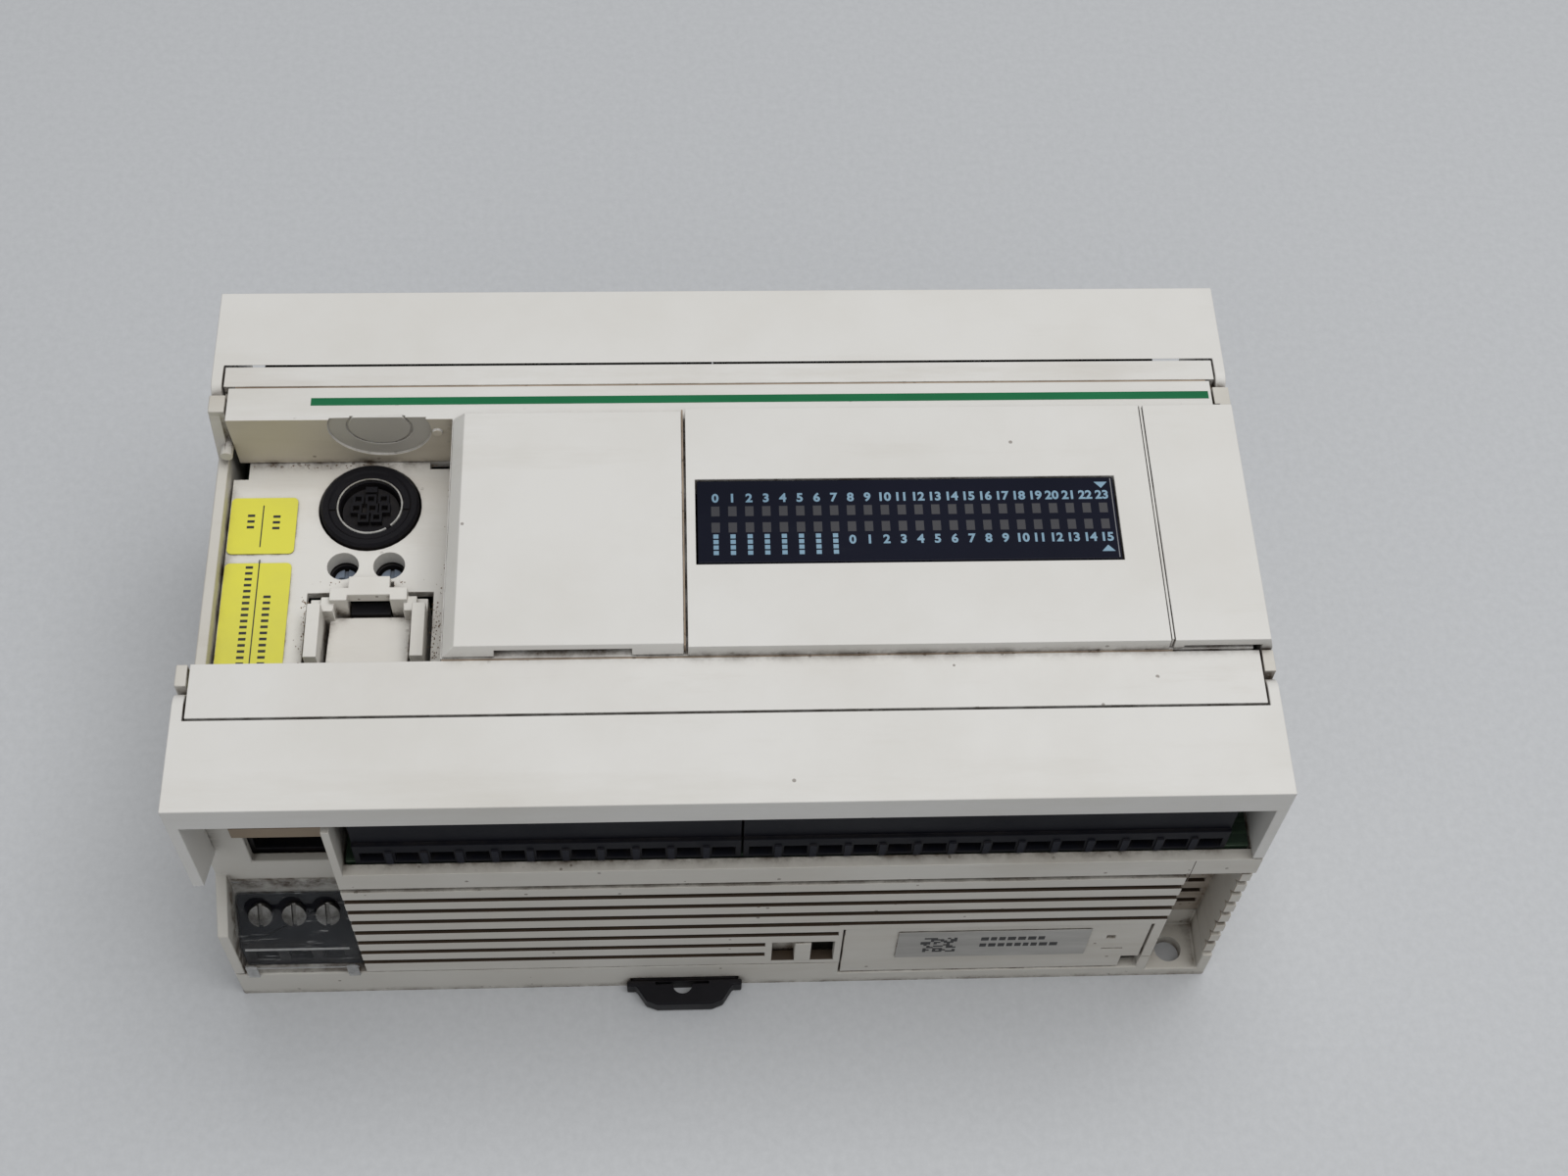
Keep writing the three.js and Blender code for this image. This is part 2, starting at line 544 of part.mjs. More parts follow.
// The output side also frames the slider and the battery door, and returns beside the recessed corner.
function lowerLouvreWall() {
  const depth = [-HY, -HY + WALL];
  const through = [-HY - 1, -HY + WALL + 1];
  const wall = join(
    louvreWall(-1, CORNER_X, POCKET_SIDE, CORNER_X, HX),
    block(SLIDER.left - 1.1, DOOR.left, ...depth, WALLS_Z, SLIDER.high + 0.9),
    block(DOOR.left - 1, POCKET_SIDE, ...depth, WALLS_Z, DOOR.high + 2.2),
    block(CORNER_X, CORNER_X + RETURN, -HY, -CORNER_Y - GAP, WALLS_Z, ARM_LOW - 2),
  );
  const ends = [];
  for (let i = 0; i < LOUVRES; i++) {
    const z = LEDGE_LOW - i * LOUVRE_PITCH;
    ends.push(block(CORNER_X - 1, CORNER_X + RETURN + 0.1, -HY - 1, -HY + 1.4, z - LOUVRE_GAP, z));
  }
  return cut(
    wall,
    ...ends,
    block(SLIDER.left, SLIDER.right, ...through, SLIDER.low, SLIDER.high),
    block(DOOR.left - GAP, DOOR.right + GAP, ...through, 0, DOOR.high + GAP),
  );
}

// Frame round the front: two strips with the inner walls of the terminal troughs, tied by two ribs.
function frontFrame() {
  const strips = [
    block(-INNER, INNER, -FRAME_EDGE, FRAME_STRIP_LOW - GAP, PLATE_LOW, COVER_Z),
    block(-INNER, INNER, GREEN_TOP + GAP, FRAME_EDGE, PLATE_LOW, COVER_Z),
  ];
  const reach = INNER - BEARING - GAP;
  for (const sy of [-1, 1]) {
    strips.push(cornerBlock(1, sy, -reach, reach, FRAME_EDGE - 1.5, FRAME_EDGE, ON_BOARD, COVER_Z - 1));
  }
  for (const x of RIBS) {
    strips.push(block(x, x + SKIN, -FRAME_EDGE + 0.5, FRAME_EDGE - 0.5, ON_BOARD, ON_BOARD + 3.5));
  }
  return join(...strips);
}

// Round relief in the bay's upper wall, with a ring inside it, square to the wall.
function bayRelief(wallFoot) {
  const lean = Math.atan2(BAY_OVERHANG, COVER_Z - BAY_FLOOR);
  const ring = cut(rodY(5.1, 0, 0, -1, 0.7, 32), rodY(4.7, 0, 0, -2, 2, 32));
  const place = new THREE.Matrix4().makeRotationX(lean);
  const z = COVER_Z - 2.9;
  place.setPosition(PORT.x + 2.2, wallFoot - (z - BAY_FLOOR) * Math.tan(lean), z);
  return join(rodY(7.85, 0, 0, -1, 0.4, 40), ring).transform(place.elements);
}

// Centre front: green-line strip, proud panel with the window opening, bay walls and display recess.
function frontBezel() {
  const strip = block(BEZEL_LEFT, BEZEL_RIGHT, PANEL_HIGH - 0.5, GREEN_TOP, PLATE_LOW, COVER_Z);
  const panel = cut(
    block(DISPLAY_RIGHT + GAP, EXPANSION_LEFT - 0.6, PANEL_LOW, PANEL_HIGH, PLATE_LOW, DEPTH),
    block(DISPLAY_RIGHT + 2, EXPANSION_LEFT - 2.2, PANEL_LOW + SKIN, PANEL_HIGH - SKIN, 0, DEPTH - SKIN),
    block(WINDOW.left, WINDOW.right, WINDOW.low, WINDOW.high, 0, DEPTH + 1),
  );
  const shelf = block(EXPANSION_LEFT - 1, BEZEL_RIGHT, PANEL_LOW, PANEL_HIGH, PLATE_LOW, COVER_Z);
  const shelfY = EXPANSION_SOCKET / 2 + 3;
  const shelfHole = block(EXPANSION_LEFT + 3, BEZEL_RIGHT - 2, -shelfY, shelfY, PLATE_LOW - 1, COVER_Z + 1);
  const recess = cut(
    block(BAY_RIGHT, DISPLAY_RIGHT + 0.5, PANEL_LOW, PANEL_HIGH, DISPLAY_FLOOR - SKIN, COVER_Z),
    block(...DISPLAY_RECESS, DISPLAY_FLOOR, DEPTH),
  );
  const bayTop = [BAY_FLOOR + GAP, COVER_Z];
  const bayWalls = join(
    block(BEZEL_LEFT, BAY_RIGHT + 0.5, PANEL_HIGH, PANEL_HIGH + 2.9, ...bayTop),
    block(BAY_RIGHT - BAY_INSET, BAY_RIGHT + 1.9, PANEL_LOW, PANEL_HIGH + 2, ...bayTop),
  );
  const wallFoot = PANEL_HIGH + 1.3;
  const opening = [
    [PANEL_LOW - 1, BAY_FLOOR - 1],
    [wallFoot, BAY_FLOOR - 1],
    [wallFoot, BAY_FLOOR],
    [wallFoot - BAY_OVERHANG, COVER_Z],
    [wallFoot - BAY_OVERHANG, DEPTH],
    [PANEL_LOW - 1, DEPTH],
  ];
  const bayOpening = alongX(opening, BEZEL_LEFT - 1, BAY_RIGHT - BAY_INSET);
  const front = join(cut(join(strip, bayWalls), bayOpening, bayRelief(wallFoot)), panel, recess);
  const boss = rodY(0.8, BAY_RIGHT - 2.8, BAY_FLOOR + 9.7, PANEL_HIGH, PANEL_HIGH + 2, 12);
  return join(front, cut(shelf, shelfHole), boss);
}

// Floor of the open bay, with the socket, trimmer and cartridge openings, on four legs.
function bayTray() {
  const floorX = [-INNER, BAY_RIGHT + 1];
  const floorY = [PANEL_LOW, PANEL_HIGH + 2.4];
  const floorZ = [BAY_FLOOR - 1.5, BAY_FLOOR];
  let tray = block(...floorX, ...floorY, ...floorZ);
  for (const x of [floorX[0] + 2.5, floorX[1] - 2]) {
    for (const y of [floorY[0] + 2, floorY[1] - 4.5]) {
      tray = join(tray, rodZ(1.6, x, y, ON_BOARD, BAY_FLOOR - 1, 10));
    }
  }
  const half = CARTRIDGE_WIDTH / 2;
  const through = [0, BAY_FLOOR + 1];
  tray = cut(
    tray,
    rodZ(PORT_RADIUS + GAP, PORT.x, PORT.y, ...through, 40),
    block(CARTRIDGE.x - half, CARTRIDGE.x + half, PANEL_LOW - 1, CARTRIDGE.top, ...through),
    block(CARTRIDGE.x - 3.4, CARTRIDGE.x + 3.4, CARTRIDGE.top - 1, CARTRIDGE.top + 1.9, ...through),
    block(floorX[0] - 1, floorX[0] + 2.3, PANEL_HIGH - 1.6, PANEL_HIGH + 3, ...through),
    block(BAY_RIGHT - 4.9, BAY_RIGHT - 1, PANEL_HIGH + 0.1, PANEL_HIGH + 1.4, ...through),
  );
  for (const sx of [-1, 1]) {
    const x = TRIMMER.x + (sx * TRIMMER_SPACING) / 2;
    tray = join(tray, rodZ(TRIMMER_HOLE + 0.7, x, TRIMMER.y, BAY_FLOOR - 3, BAY_FLOOR - 1, 24));
    tray = cut(tray, rodZ(TRIMMER_HOLE, x, TRIMMER.y, ...through, 24));
  }
  return tray;
}

// Bracket that guides and latches a plug-in memory cartridge.
function cartridgeBracket() {
  const { x, top } = CARTRIDGE;
  const half = CARTRIDGE_WIDTH / 2 - GAP;
  const low = PANEL_LOW + 0.3;
  const base = block(x - half, x + half, low, top - GAP, ON_BOARD, ON_BOARD + 1.5);
  const rampOutline = [
    [low, ON_BOARD + 1],
    [low, BAY_FLOOR + 0.4],
    [top - 3.2, BAY_FLOOR - 2],
    [top - 3.2, ON_BOARD + 1],
  ];
  const pieces = [base, alongX(rampOutline, x - 6.1, x + 6.1)];
  for (const sx of [-1, 1]) {
    const prong = [x + sx * (half - 1.4) - 1, x + sx * (half - 1.4) + 1];
    const step = [x + sx * (half - 3) - 1, x + sx * (half - 3) + 1];
    const post = [x + sx * 4.5 - 1.3, x + sx * 4.5 + 1.3];
    pieces.push(block(...prong, top - 13, top - 3.8, ON_BOARD + 1, BAY_FLOOR + 3.4));
    pieces.push(block(...step, top - 3.9, top - 1.4, ON_BOARD + 1, BAY_FLOOR + 1.2));
    pieces.push(block(...prong, top - 4, top - 1.4, ON_BOARD + 1, BAY_FLOOR + 0.4));
    pieces.push(block(...post, top - 2.6, top - 0.4, ON_BOARD + 1, BAY_FLOOR + 2.2));
  }
  pieces.push(block(x - 5.8, x + 5.8, top - 1.7, top - 0.4, BAY_FLOOR + 0.2, BAY_FLOOR + 2.2));
  pieces.push(block(x - 3.1, x + 3.1, top - 0.5, top + 1.6, BAY_FLOOR + 1, BAY_FLOOR + 2.2));
  return join(...pieces);
}

// A hinged terminal cover: a flat lid with a lip over the wires, two ears and a pin in each end wall.
function terminalCover(sy) {
  // The lid's inner edge is undercut, so that it clears the frame strip as it swings up.
  const section = [
    [sy * HY, COVER_Z - COVER_LIP],
    [sy * HY, COVER_Z],
    [sy * SEAM, COVER_Z],
    [sy * (SEAM + SKIN), PLATE_LOW],
    [sy * (HY - SKIN), PLATE_LOW],
    [sy * (HY - SKIN), COVER_Z - COVER_LIP],
  ];
  let cover = alongX(section, -HX, HX);
  for (const sx of [-1, 1]) {
    // The ear beside the recessed corner hangs lower than the one on the ledge.
    const corner = sx < 0 && sy < 0;
    const tip = corner ? LEDGE_TOP - 2.8 : LEDGE_TOP + GAP;
    const heel = corner ? LEDGE_TOP - 7.6 : LEDGE_TOP + GAP;
    const ear = [
      [sy * HY, tip],
      [sy * HY, COVER_Z],
      [sy * HINGE_Y, COVER_Z],
      [sy * HINGE_Y, ARM_LOW],
      [sy * (CORNER_Y + GAP), ARM_LOW],
      [sy * (CORNER_Y + GAP), heel],
    ];
    const [x0, x1] = sx < 0 ? [-HX, -END] : [END, HX];
    const pin = sx < 0 ? [-END - 0.5, -INNER + BEARING - 0.4] : [INNER - BEARING + 0.4, END + 0.5];
    cover = join(
      cover,
      alongX(ear, x0, x1),
      rodX(HINGE_RADIUS, sy * HINGE_Y, HINGE_Z, x0, x1, 32),
      rodX(PIN_RADIUS, sy * HINGE_Y, HINGE_Z, ...pin, 20),
    );
  }
  return cover;
}

// A row of screw terminals: wire entries face the cable side and screw wells face the front.
function terminalBlock(sy, x0, ways) {
  const x1 = x0 + ways * TERMINAL_PITCH;
  const top = ON_BOARD + TERMINAL_HEIGHT;
  const back = TERMINAL_FACE - TERMINAL_DEPTH;
  let row = join(
    cornerBlock(1, sy, x0, x1, back, TERMINAL_FACE, ON_BOARD, ON_BOARD + 5.7),
    cornerBlock(1, sy, x0, x1, back, TERMINAL_FACE - 0.6, ON_BOARD + 5, top),
  );
  for (let way = 0; way < ways; way++) {
    const x = x0 + (way + 0.5) * TERMINAL_PITCH;
    const entry = [TERMINAL_FACE - 3, TERMINAL_FACE + 1, ON_BOARD + 0.7, ON_BOARD + 3.4];
    row = cut(
      row,
      cornerBlock(1, sy, x - 1.7, x + 1.7, ...entry),
      rodZ(1.9, x, sy * (TERMINAL_FACE - 5.4), top - 3, top + 1, 8),
    );
  }
  return row;
}

// Input and output board: carries the terminal rows, and steps back round the recessed corner.
function ioBoard() {
  const edge = HY - WALL - GAP;
  const corner = block(-HX, CORNER_X + RETURN + GAP, -HY, -CORNER_Y + SKIN + GAP, 0, DEPTH);
  return cut(block(-INNER, INNER, -edge, edge, BOARD_LOW, BOARD_TOP), corner);
}

// The bay's round socket: a collar with a ring groove and a core with eight contact holes.
function serialPort() {
  const { x, y } = PORT;
  const top = BAY_FLOOR + 0.9;
  let port = cut(
    rodZ(PORT_RADIUS, x, y, ON_BOARD, top, 40),
    rodZ(PORT_RING + 0.5, x, y, top - 5, top + 1, 32),
  );
  port = join(port, rodZ(PORT_RING - 0.6, x, y, ON_BOARD + 1, top - 0.6, 32));
  const rows = [
    { dy: 1.7, xs: [-1.9, 0, 1.9] },
    { dy: 0, xs: [-2.2, 0.3, 2.2] },
    { dy: -1.7, xs: [-1, 1] },
  ];
  for (const { dy, xs } of rows) {
    for (const dx of xs) {
      port = cut(port, block(x + dx - 0.5, x + dx + 0.5, y + dy - 0.5, y + dy + 0.5, top - 3, top));
    }
  }
  return cut(port, block(x - 0.7, x + 0.7, y + 3, y + 3.8, top - 3, top));
}

function portRing() {
  const { x, y } = PORT;
  const top = BAY_FLOOR + 0.6;
  const bottom = BAY_FLOOR - 3.6;
  const inner = rodZ(PORT_RING - 0.2, x, y, bottom - 1, top + 1, 32);
  return cut(rodZ(PORT_RING + 0.15, x, y, bottom, top, 32), inner);
}

// One trimmer is a slotted disc that turns in its square body.
function trimmer(sx) {
  const x = TRIMMER.x + (sx * TRIMMER_SPACING) / 2;
  const { y, top } = TRIMMER;
  return cut(
    rodZ(TRIMMER_RADIUS, x, y, top - 1.2, top, 20),
    block(x - 0.3, x + 0.3, y - 3, y + 3, top - 0.5, top + 1),
    block(x - 1.1, x + 1.1, y - 0.3, y + 0.3, top - 0.5, top + 1),
  );
}

function trimmerBody() {
  const reach = TRIMMER_SPACING / 2 + 2.6;
  const { x: middle, y } = TRIMMER;
  let body = block(middle - reach, middle + reach, y - 2.6, y + 2.6, ON_BOARD, BAY_FLOOR - 3 - GAP);
  for (const sx of [-1, 1]) {
    const x = middle + (sx * TRIMMER_SPACING) / 2;
    body = cut(body, rodZ(TRIMMER_RADIUS + GAP, x, y, TRIMMER.top - 1.2 - GAP, DEPTH, 20));
  }
  return body;
}

// Power terminals: a block under the slanted cover, with three screws square to its slanted top.
const slope = Math.atan2(COVER_RISE, CORNER_RECESS);
const SCREW_ROW = -HY + 5.6; // the power screws stand in this row
const onSlope = (y, lift) => [y, COVER_FOLD + (y + HY) * Math.tan(slope) + lift];

function powerCover() {
  const [x0, x1] = [-END + GAP, CORNER_X - GAP];
  const back = -CORNER_Y - GAP;
  const rise = CLEAR / Math.cos(slope);
  const section = [
    [-HY + 0.1, COVER_LOW],
    onSlope(-HY + 0.1, 0),
    onSlope(back, 0),
    onSlope(back, -rise),
    onSlope(-HY + 0.1 + CLEAR, -rise),
    [-HY + 0.1 + CLEAR, COVER_LOW],
  ];
  let cover = alongX(section, x0, x1);
  for (let i = -1; i <= 1; i++) {
    cover = cut(cover, slanted(rodZ(2.2, 0, 0, -3, 2, 24), i, -HY + 4.4, 0));
  }
  const neck = block(-POWER_PITCH, POWER_PITCH, -0.5, 1, -3, 2);
  return cut(cover, slanted(neck, 0, -HY + 4.4, 0));
}

function powerBlock() {
  const drop = POWER_DROP / Math.cos(slope);
  const back = -CORNER_Y - GAP;
  const front = -HY + 0.1 + CLEAR + GAP;
  const section = [
    [front, WALLS_Z],
    onSlope(front, -drop),
    onSlope(back, -drop),
    [back, WALLS_Z],
  ];
  let body = alongX(section, -END + GAP, CORNER_X - GAP);
  for (let i = -1; i <= 1; i++) {
    body = cut(body, slanted(rodZ(1.1, 0, 0, -1.3, 3, 12), i, SCREW_ROW, -drop));
    const x = POWER_X + i * POWER_PITCH;
    body = cut(body, block(x - 1.7, x + 1.7, front - 1, front + 2, 10.5, 13.5));
  }
  return body;
}

// Moves a body made about the origin on to the cover's slope, at y and lifted by so much.
function slanted(body, way, y, lift) {
  const place = new THREE.Matrix4().makeRotationX(slope);
  place.setPosition(POWER_X + way * POWER_PITCH, ...onSlope(y, lift));
  return body.transform(place.elements);
}

function powerScrew(way) {
  const head = cut(rodZ(1.9, 0, 0, GAP, 1.5, 20), block(-0.3, 0.3, -3, 3, 0.9, 2));
  const screw = join(head, rodZ(0.8, 0, 0, -1, GAP + 0.1, 12));
  return slanted(screw, way, SCREW_ROW, -POWER_DROP / Math.cos(slope));
}

// Network socket: a shielded box with its opening towards the cable side.
function networkSocket() {
  const x = (NETWORK.left + NETWORK.right) / 2;
  const front = -CORNER_Y + SKIN + GAP;
  const body = block(x - 7.6, x + 7.6, front, front + 14, LOGIC_TOP + GAP, BOARD_LOW - GAP);
  return cut(
    body,
    block(x - 5.9, x + 5.9, front - 1, front + 12, NETWORK.low + 0.8, NETWORK.low + 7.6),
    block(x - 3, x + 3, front - 1, front + 9, NETWORK.low + 7, NETWORK.low + 9.4),
  );
}

function battery() {
  const { x0, x1, y, z } = CELL;
  return join(rodX(CELL_RADIUS, y, z, x0, x1, 24), rodX(2.2, y, z, x1 - 0.5, x1 + 1, 16));
}

function batteryHolder() {
  const { x0, x1, y, z } = CELL;
  const room = CELL_RADIUS + GAP;
  const front = -HY + WALL + 2.2;
  const right = x1 + 1.3;
  const tub = block(
    x0 - GAP - HOLDER_WALL,
    right + HOLDER_WALL,
    front,
    HOLDER_BACK,
    DOOR.low + GAP,
    DOOR.high - 0.2,
  );
  return cut(tub, block(x0 - GAP, right, front - 1, y + room, z - room, z + room));
}

function batteryDoor() {
  const panel = block(DOOR.left, DOOR.right, -HY + 0.2, -HY + WALL - 0.2, DOOR.low, DOOR.high);
  const notch = block(DOOR.right - 2.8, DOOR.right + 1, -HY - 1, -HY + WALL, 0, BASE_HEIGHT);
  const catchSlot = block(DOOR.right - 6.4, DOOR.right - 5, -HY, -HY + 0.9, 15.4, 16.8);
  const line = block(DOOR.right - 6.6, DOOR.right - 3.2, -HY, -HY + 0.6, 11.2, 11.6);
  return cut(panel, notch, catchSlot, line);
}

function slider() {
  const inside = -HY + WALL + GAP;
  return join(
    block(SLIDER.left + 3.6, SLIDER.left + 6.2, -HY - 0.2, inside + 0.5, SLIDER.low + GAP, SLIDER.high - GAP),
    block(SLIDER.left - 4.4, SLIDER.left + 6.2, inside, inside + 1.2, SLIDER.low - 1, SLIDER.high + 1),
  );
}

function ledWindow() {
  const [x0, x1] = [WINDOW.left + GAP, WINDOW.right - GAP];
  return block(x0, x1, WINDOW.low + GAP, WINDOW.high - GAP, DEPTH - SKIN - 0.1, DEPTH - 0.1);
}

// Light guide: a bar on legs, with one square post under each lamp mark.
function lightGuide() {
  const barTop = DEPTH - 6;
  const bar = block(WINDOW.left + 1, WINDOW.right - 1, WINDOW.low + 1, WINDOW.high - 1, barTop - 3, barTop);
  const pieces = [bar];
  for (const x of [WINDOW.left + 3, WINDOW.right - 3]) {
    for (const y of [WINDOW.low + 3, WINDOW.high - 3]) {
      pieces.push(block(x - 1, x + 1, y - 1, y + 1, ON_BOARD, barTop - 2));
    }
  }
  const top = DEPTH - SKIN - 0.1 - GAP;
  for (let column = 0; column < LAMPS; column++) {
    const x = LAMP_FIRST + column * LAMP_PITCH;
    for (const y of LAMP_ROWS) {
      pieces.push(block(x - LAMP / 2, x + LAMP / 2, y - LAMP / 2, y + LAMP / 2, barTop - 1, top));
    }
  }
  return join(...pieces);
}

function displayCover() {
  const base = [BAY_RIGHT, DISPLAY_RIGHT - GAP, PANEL_LOW, PANEL_HIGH];
  const top = [BAY_RIGHT + 1.9, DISPLAY_RIGHT - GAP, PANEL_LOW + 0.6, PANEL_HIGH - 0.5];
  const lid = frustum(base, top, COVER_Z + GAP, DEPTH);
  const [x0, x1, y0, y1] = DISPLAY_RECESS;
  const skirt = cut(
    block(x0 + GAP, x1 - GAP, y0 + GAP, y1 - GAP, DISPLAY_FLOOR + 2, COVER_Z + 0.5),
    block(x0 + 1.6, x1 - 1.6, y0 + 1.6, y1 - 1.6, DISPLAY_FLOOR, COVER_Z + GAP + 0.4),
  );
  const fingerNotch = block(BAY_RIGHT + 7.5, DISPLAY_RIGHT - 7.7, PANEL_LOW - 1, PANEL_LOW + 1, 0, DEPTH - 1);
  return cut(join(lid, skirt), fingerNotch);
}

function displaySocket() {
  const low = DISPLAY_FLOOR + GAP;
  const x = DISPLAY_RIGHT - 16.6;
  const body = block(x - 7, x + 7, -2.6, 2.6, low, low + 4);
  return cut(body, block(x - 6, x + 6, -1.4, 1.4, low + 1.5, low + 5));
}

// Cover over the expansion socket: it turns down over the right end.
function expansionCover() {
  const outline = [
    [EXPANSION_LEFT, COVER_Z + GAP],
    [EXPANSION_LEFT, DEPTH],
    [HX - 0.7, DEPTH],
    [HX, COVER_Z],
    [HX, LEDGE_TOP + GAP],
    [END, LEDGE_TOP + GAP],
    [END, DEPTH - SKIN],
    [EXPANSION_LEFT + SKIN, DEPTH - SKIN],
    [EXPANSION_LEFT + SKIN, COVER_Z + GAP],
  ];
  return alongY(outline, PANEL_LOW, PANEL_HIGH);
}

function expansionSocket() {
  const half = EXPANSION_SOCKET / 2;
  const top = BAY_FLOOR + 2.7;
  return cut(
    block(EXPANSION_LEFT + 2, INNER, -half, half, ON_BOARD, top),
    block(INNER - 5, INNER + 1, 1.5 - half, half - 1.5, ON_BOARD + 2.5, top - 2.5),
  );
}

function label(x0, x1, y0, y1) {
  return block(x0, x1, y0, y1, BAY_FLOOR + 0.1, BAY_FLOOR + 0.3);
}

function caseScrew(sx, sy) {
  const [x, y] = [sx * SCREW_X, sy * SCREW_Y];
  const head = cut(rodZ(2.8, x, y, 0.6, 2.3, 20), block(x - 0.4, x + 0.4, y - 2, y + 2, 0, 1.4));
  return join(head, rodZ(SCREW_RADIUS, x, y, 2.2, SCREW_LENGTH, 12));
}

function powerBoard() {
  const y = [HOLDER_BACK + 2.1, POCKET_BACK - SKIN - 0.4];
  return block(-POWER_BOARD_X, POWER_BOARD_X, ...y, POWER_BOARD_TOP - BOARD, POWER_BOARD_TOP);
}

function logicBoard() {
  const y = [-CORNER_Y + SKIN + GAP, LOGIC_HIGH];
  return block(-INNER + 1, LOGIC_RIGHT, ...y, LOGIC_TOP - BOARD, LOGIC_TOP);
}

// Parts on the power board, from left to right: transformer, capacitor, relays and the link to the io board.
const TRANSFORMER_LEFT = LOGIC_RIGHT + 6;
const CAPACITOR_X = TRANSFORMER_LEFT + 48;
const RELAY_LOW = HOLDER_BACK + 4.1;
const ON_POWER_BOARD = POWER_BOARD_TOP + GAP;

function transformer() {
  const y = [RELAY_LOW + 14, RELAY_LOW + 40];
  return block(TRANSFORMER_LEFT, TRANSFORMER_LEFT + 30, ...y, ON_POWER_BOARD, BOARD_LOW - 5.4);
}

function bulkCapacitor() {
  return rodZ(11, CAPACITOR_X, RELAY_LOW + 32, ON_POWER_BOARD, BOARD_LOW - 4.4, 24);
}

function relay(i) {
  const x = TRANSFORMER_LEFT + 4 + i * 16;
  return block(x, x + 13, RELAY_LOW, RELAY_LOW + 12, ON_POWER_BOARD, ON_POWER_BOARD + 14.1);
}

function boardLink() {
  const x = CAPACITOR_X + 22;
  return block(x, x + 5, RELAY_LOW + 5, RELAY_LOW + 45, ON_POWER_BOARD, BOARD_LOW - GAP);
}

function processor() {
  const x = -HX + 18.5;
  return block(x, x + 20, LOGIC_HIGH - 30, LOGIC_HIGH - 10, LOGIC_TOP + GAP, LOGIC_TOP + 2.3);
}

function doorLabel() {
  const y = [-HY - 0.05, -HY + 0.1];
  return block(DOOR.left + 8.5, DOOR.right - 9.3, ...y, DOOR.low + 6.1, DOOR.high - 1.4);
}

piece("rear_base", rearBase(), "case");
piece("left_end_wall", leftEndWall(), "case");
piece("right_end_wall", rightEndWall(), "case");
piece("lower_louvre_wall", lowerLouvreWall(), "case");
piece("upper_louvre_wall", louvreWall(1, -POCKET_SIDE, INNER, -HX, HX), "case");
piece("front_frame", frontFrame(), "case");
piece("front_bezel", frontBezel(), "case");
piece("bay_tray", bayTray(), "case");
piece("cartridge_bracket", cartridgeBracket(), "case");
piece("lower_terminal_cover", terminalCover(-1), "case");
piece("upper_terminal_cover", terminalCover(1), "case");
piece("display_cover", displayCover(), "case");
piece("display_socket", displaySocket(), "black");
piece("expansion_cover", expansionCover(), "case");
piece("expansion_socket", expansionSocket(), "black");
piece("led_window", ledWindow(), "window");
piece("light_guide", lightGuide(), "clear");
piece("output_terminals_left", terminalBlock(-1, OUTPUT_LEFT, LEFT_WAYS), "terminal");
piece("output_terminals_right", terminalBlock(-1, OUTPUT_SPLIT + GAP, OUTPUT_WAYS - LEFT_WAYS), "terminal");
const inputLeft = INPUT_SPLIT - INPUT_WAYS * TERMINAL_PITCH;
piece("input_terminals_left", terminalBlock(1, inputLeft, INPUT_WAYS), "terminal");
piece("input_terminals_right", terminalBlock(1, INPUT_SPLIT + GAP, INPUT_WAYS), "terminal");
piece("io_board", ioBoard(), "board");
piece("logic_board", logicBoard(), "board");
piece("power_board", powerBoard(), "board");
piece("serial_port", serialPort(), "black");
piece("serial_port_ring", portRing(), "steel");
piece("trimmer_body", trimmerBody(), "black");
piece("trimmer_left", trimmer(-1), "trimmer");
piece("trimmer_right", trimmer(1), "trimmer");
const LABEL_LEFT = -INNER + 0.2;
const clockY = [PANEL_HIGH - 15.5, PANEL_HIGH - 5.3];
piece("clock_label", label(LABEL_LEFT, PORT.x - PORT_RADIUS - 3.5, ...clockY), "yellow");
const addressY = [PANEL_LOW + 0.5, PANEL_HIGH - 17.2];
piece("address_label", label(LABEL_LEFT, CARTRIDGE.x - CARTRIDGE_WIDTH / 2 - 2.7, ...addressY), "yellow");
piece("network_socket", networkSocket(), "black");
piece("power_terminals", powerBlock(), "black");
piece("power_terminal_cover", powerCover(), "clear");
["left", "middle", "right"].forEach((way, i) => piece("power_screw_" + way, powerScrew(i - 1), "steel"));
piece("slider", slider(), "case");
piece("battery_door", batteryDoor(), "case");
piece("battery_door_label", doorLabel(), "silver");
piece("battery_holder", batteryHolder(), "black");
piece("battery", battery(), "silver");
piece("rail_clip", railClip(), "black");
piece("transformer", transformer(), "copper");
piece("bulk_capacitor", bulkCapacitor(), "black");
for (let i = 0; i < 4; i++) {
  piece("output_relay_" + (i + 1), relay(i), "relay");
}
piece("processor", processor(), "black");
piece("board_link", boardLink(), "black");
for (const sx of [-1, 1]) {
  for (const sy of [-1, 1]) {
    const corner = (sy < 0 ? "lower_" : "upper_") + (sx < 0 ? "left" : "right");
    piece("case_screw_" + corner, caseScrew(sx, sy), "steel");
  }
}

export default controller;
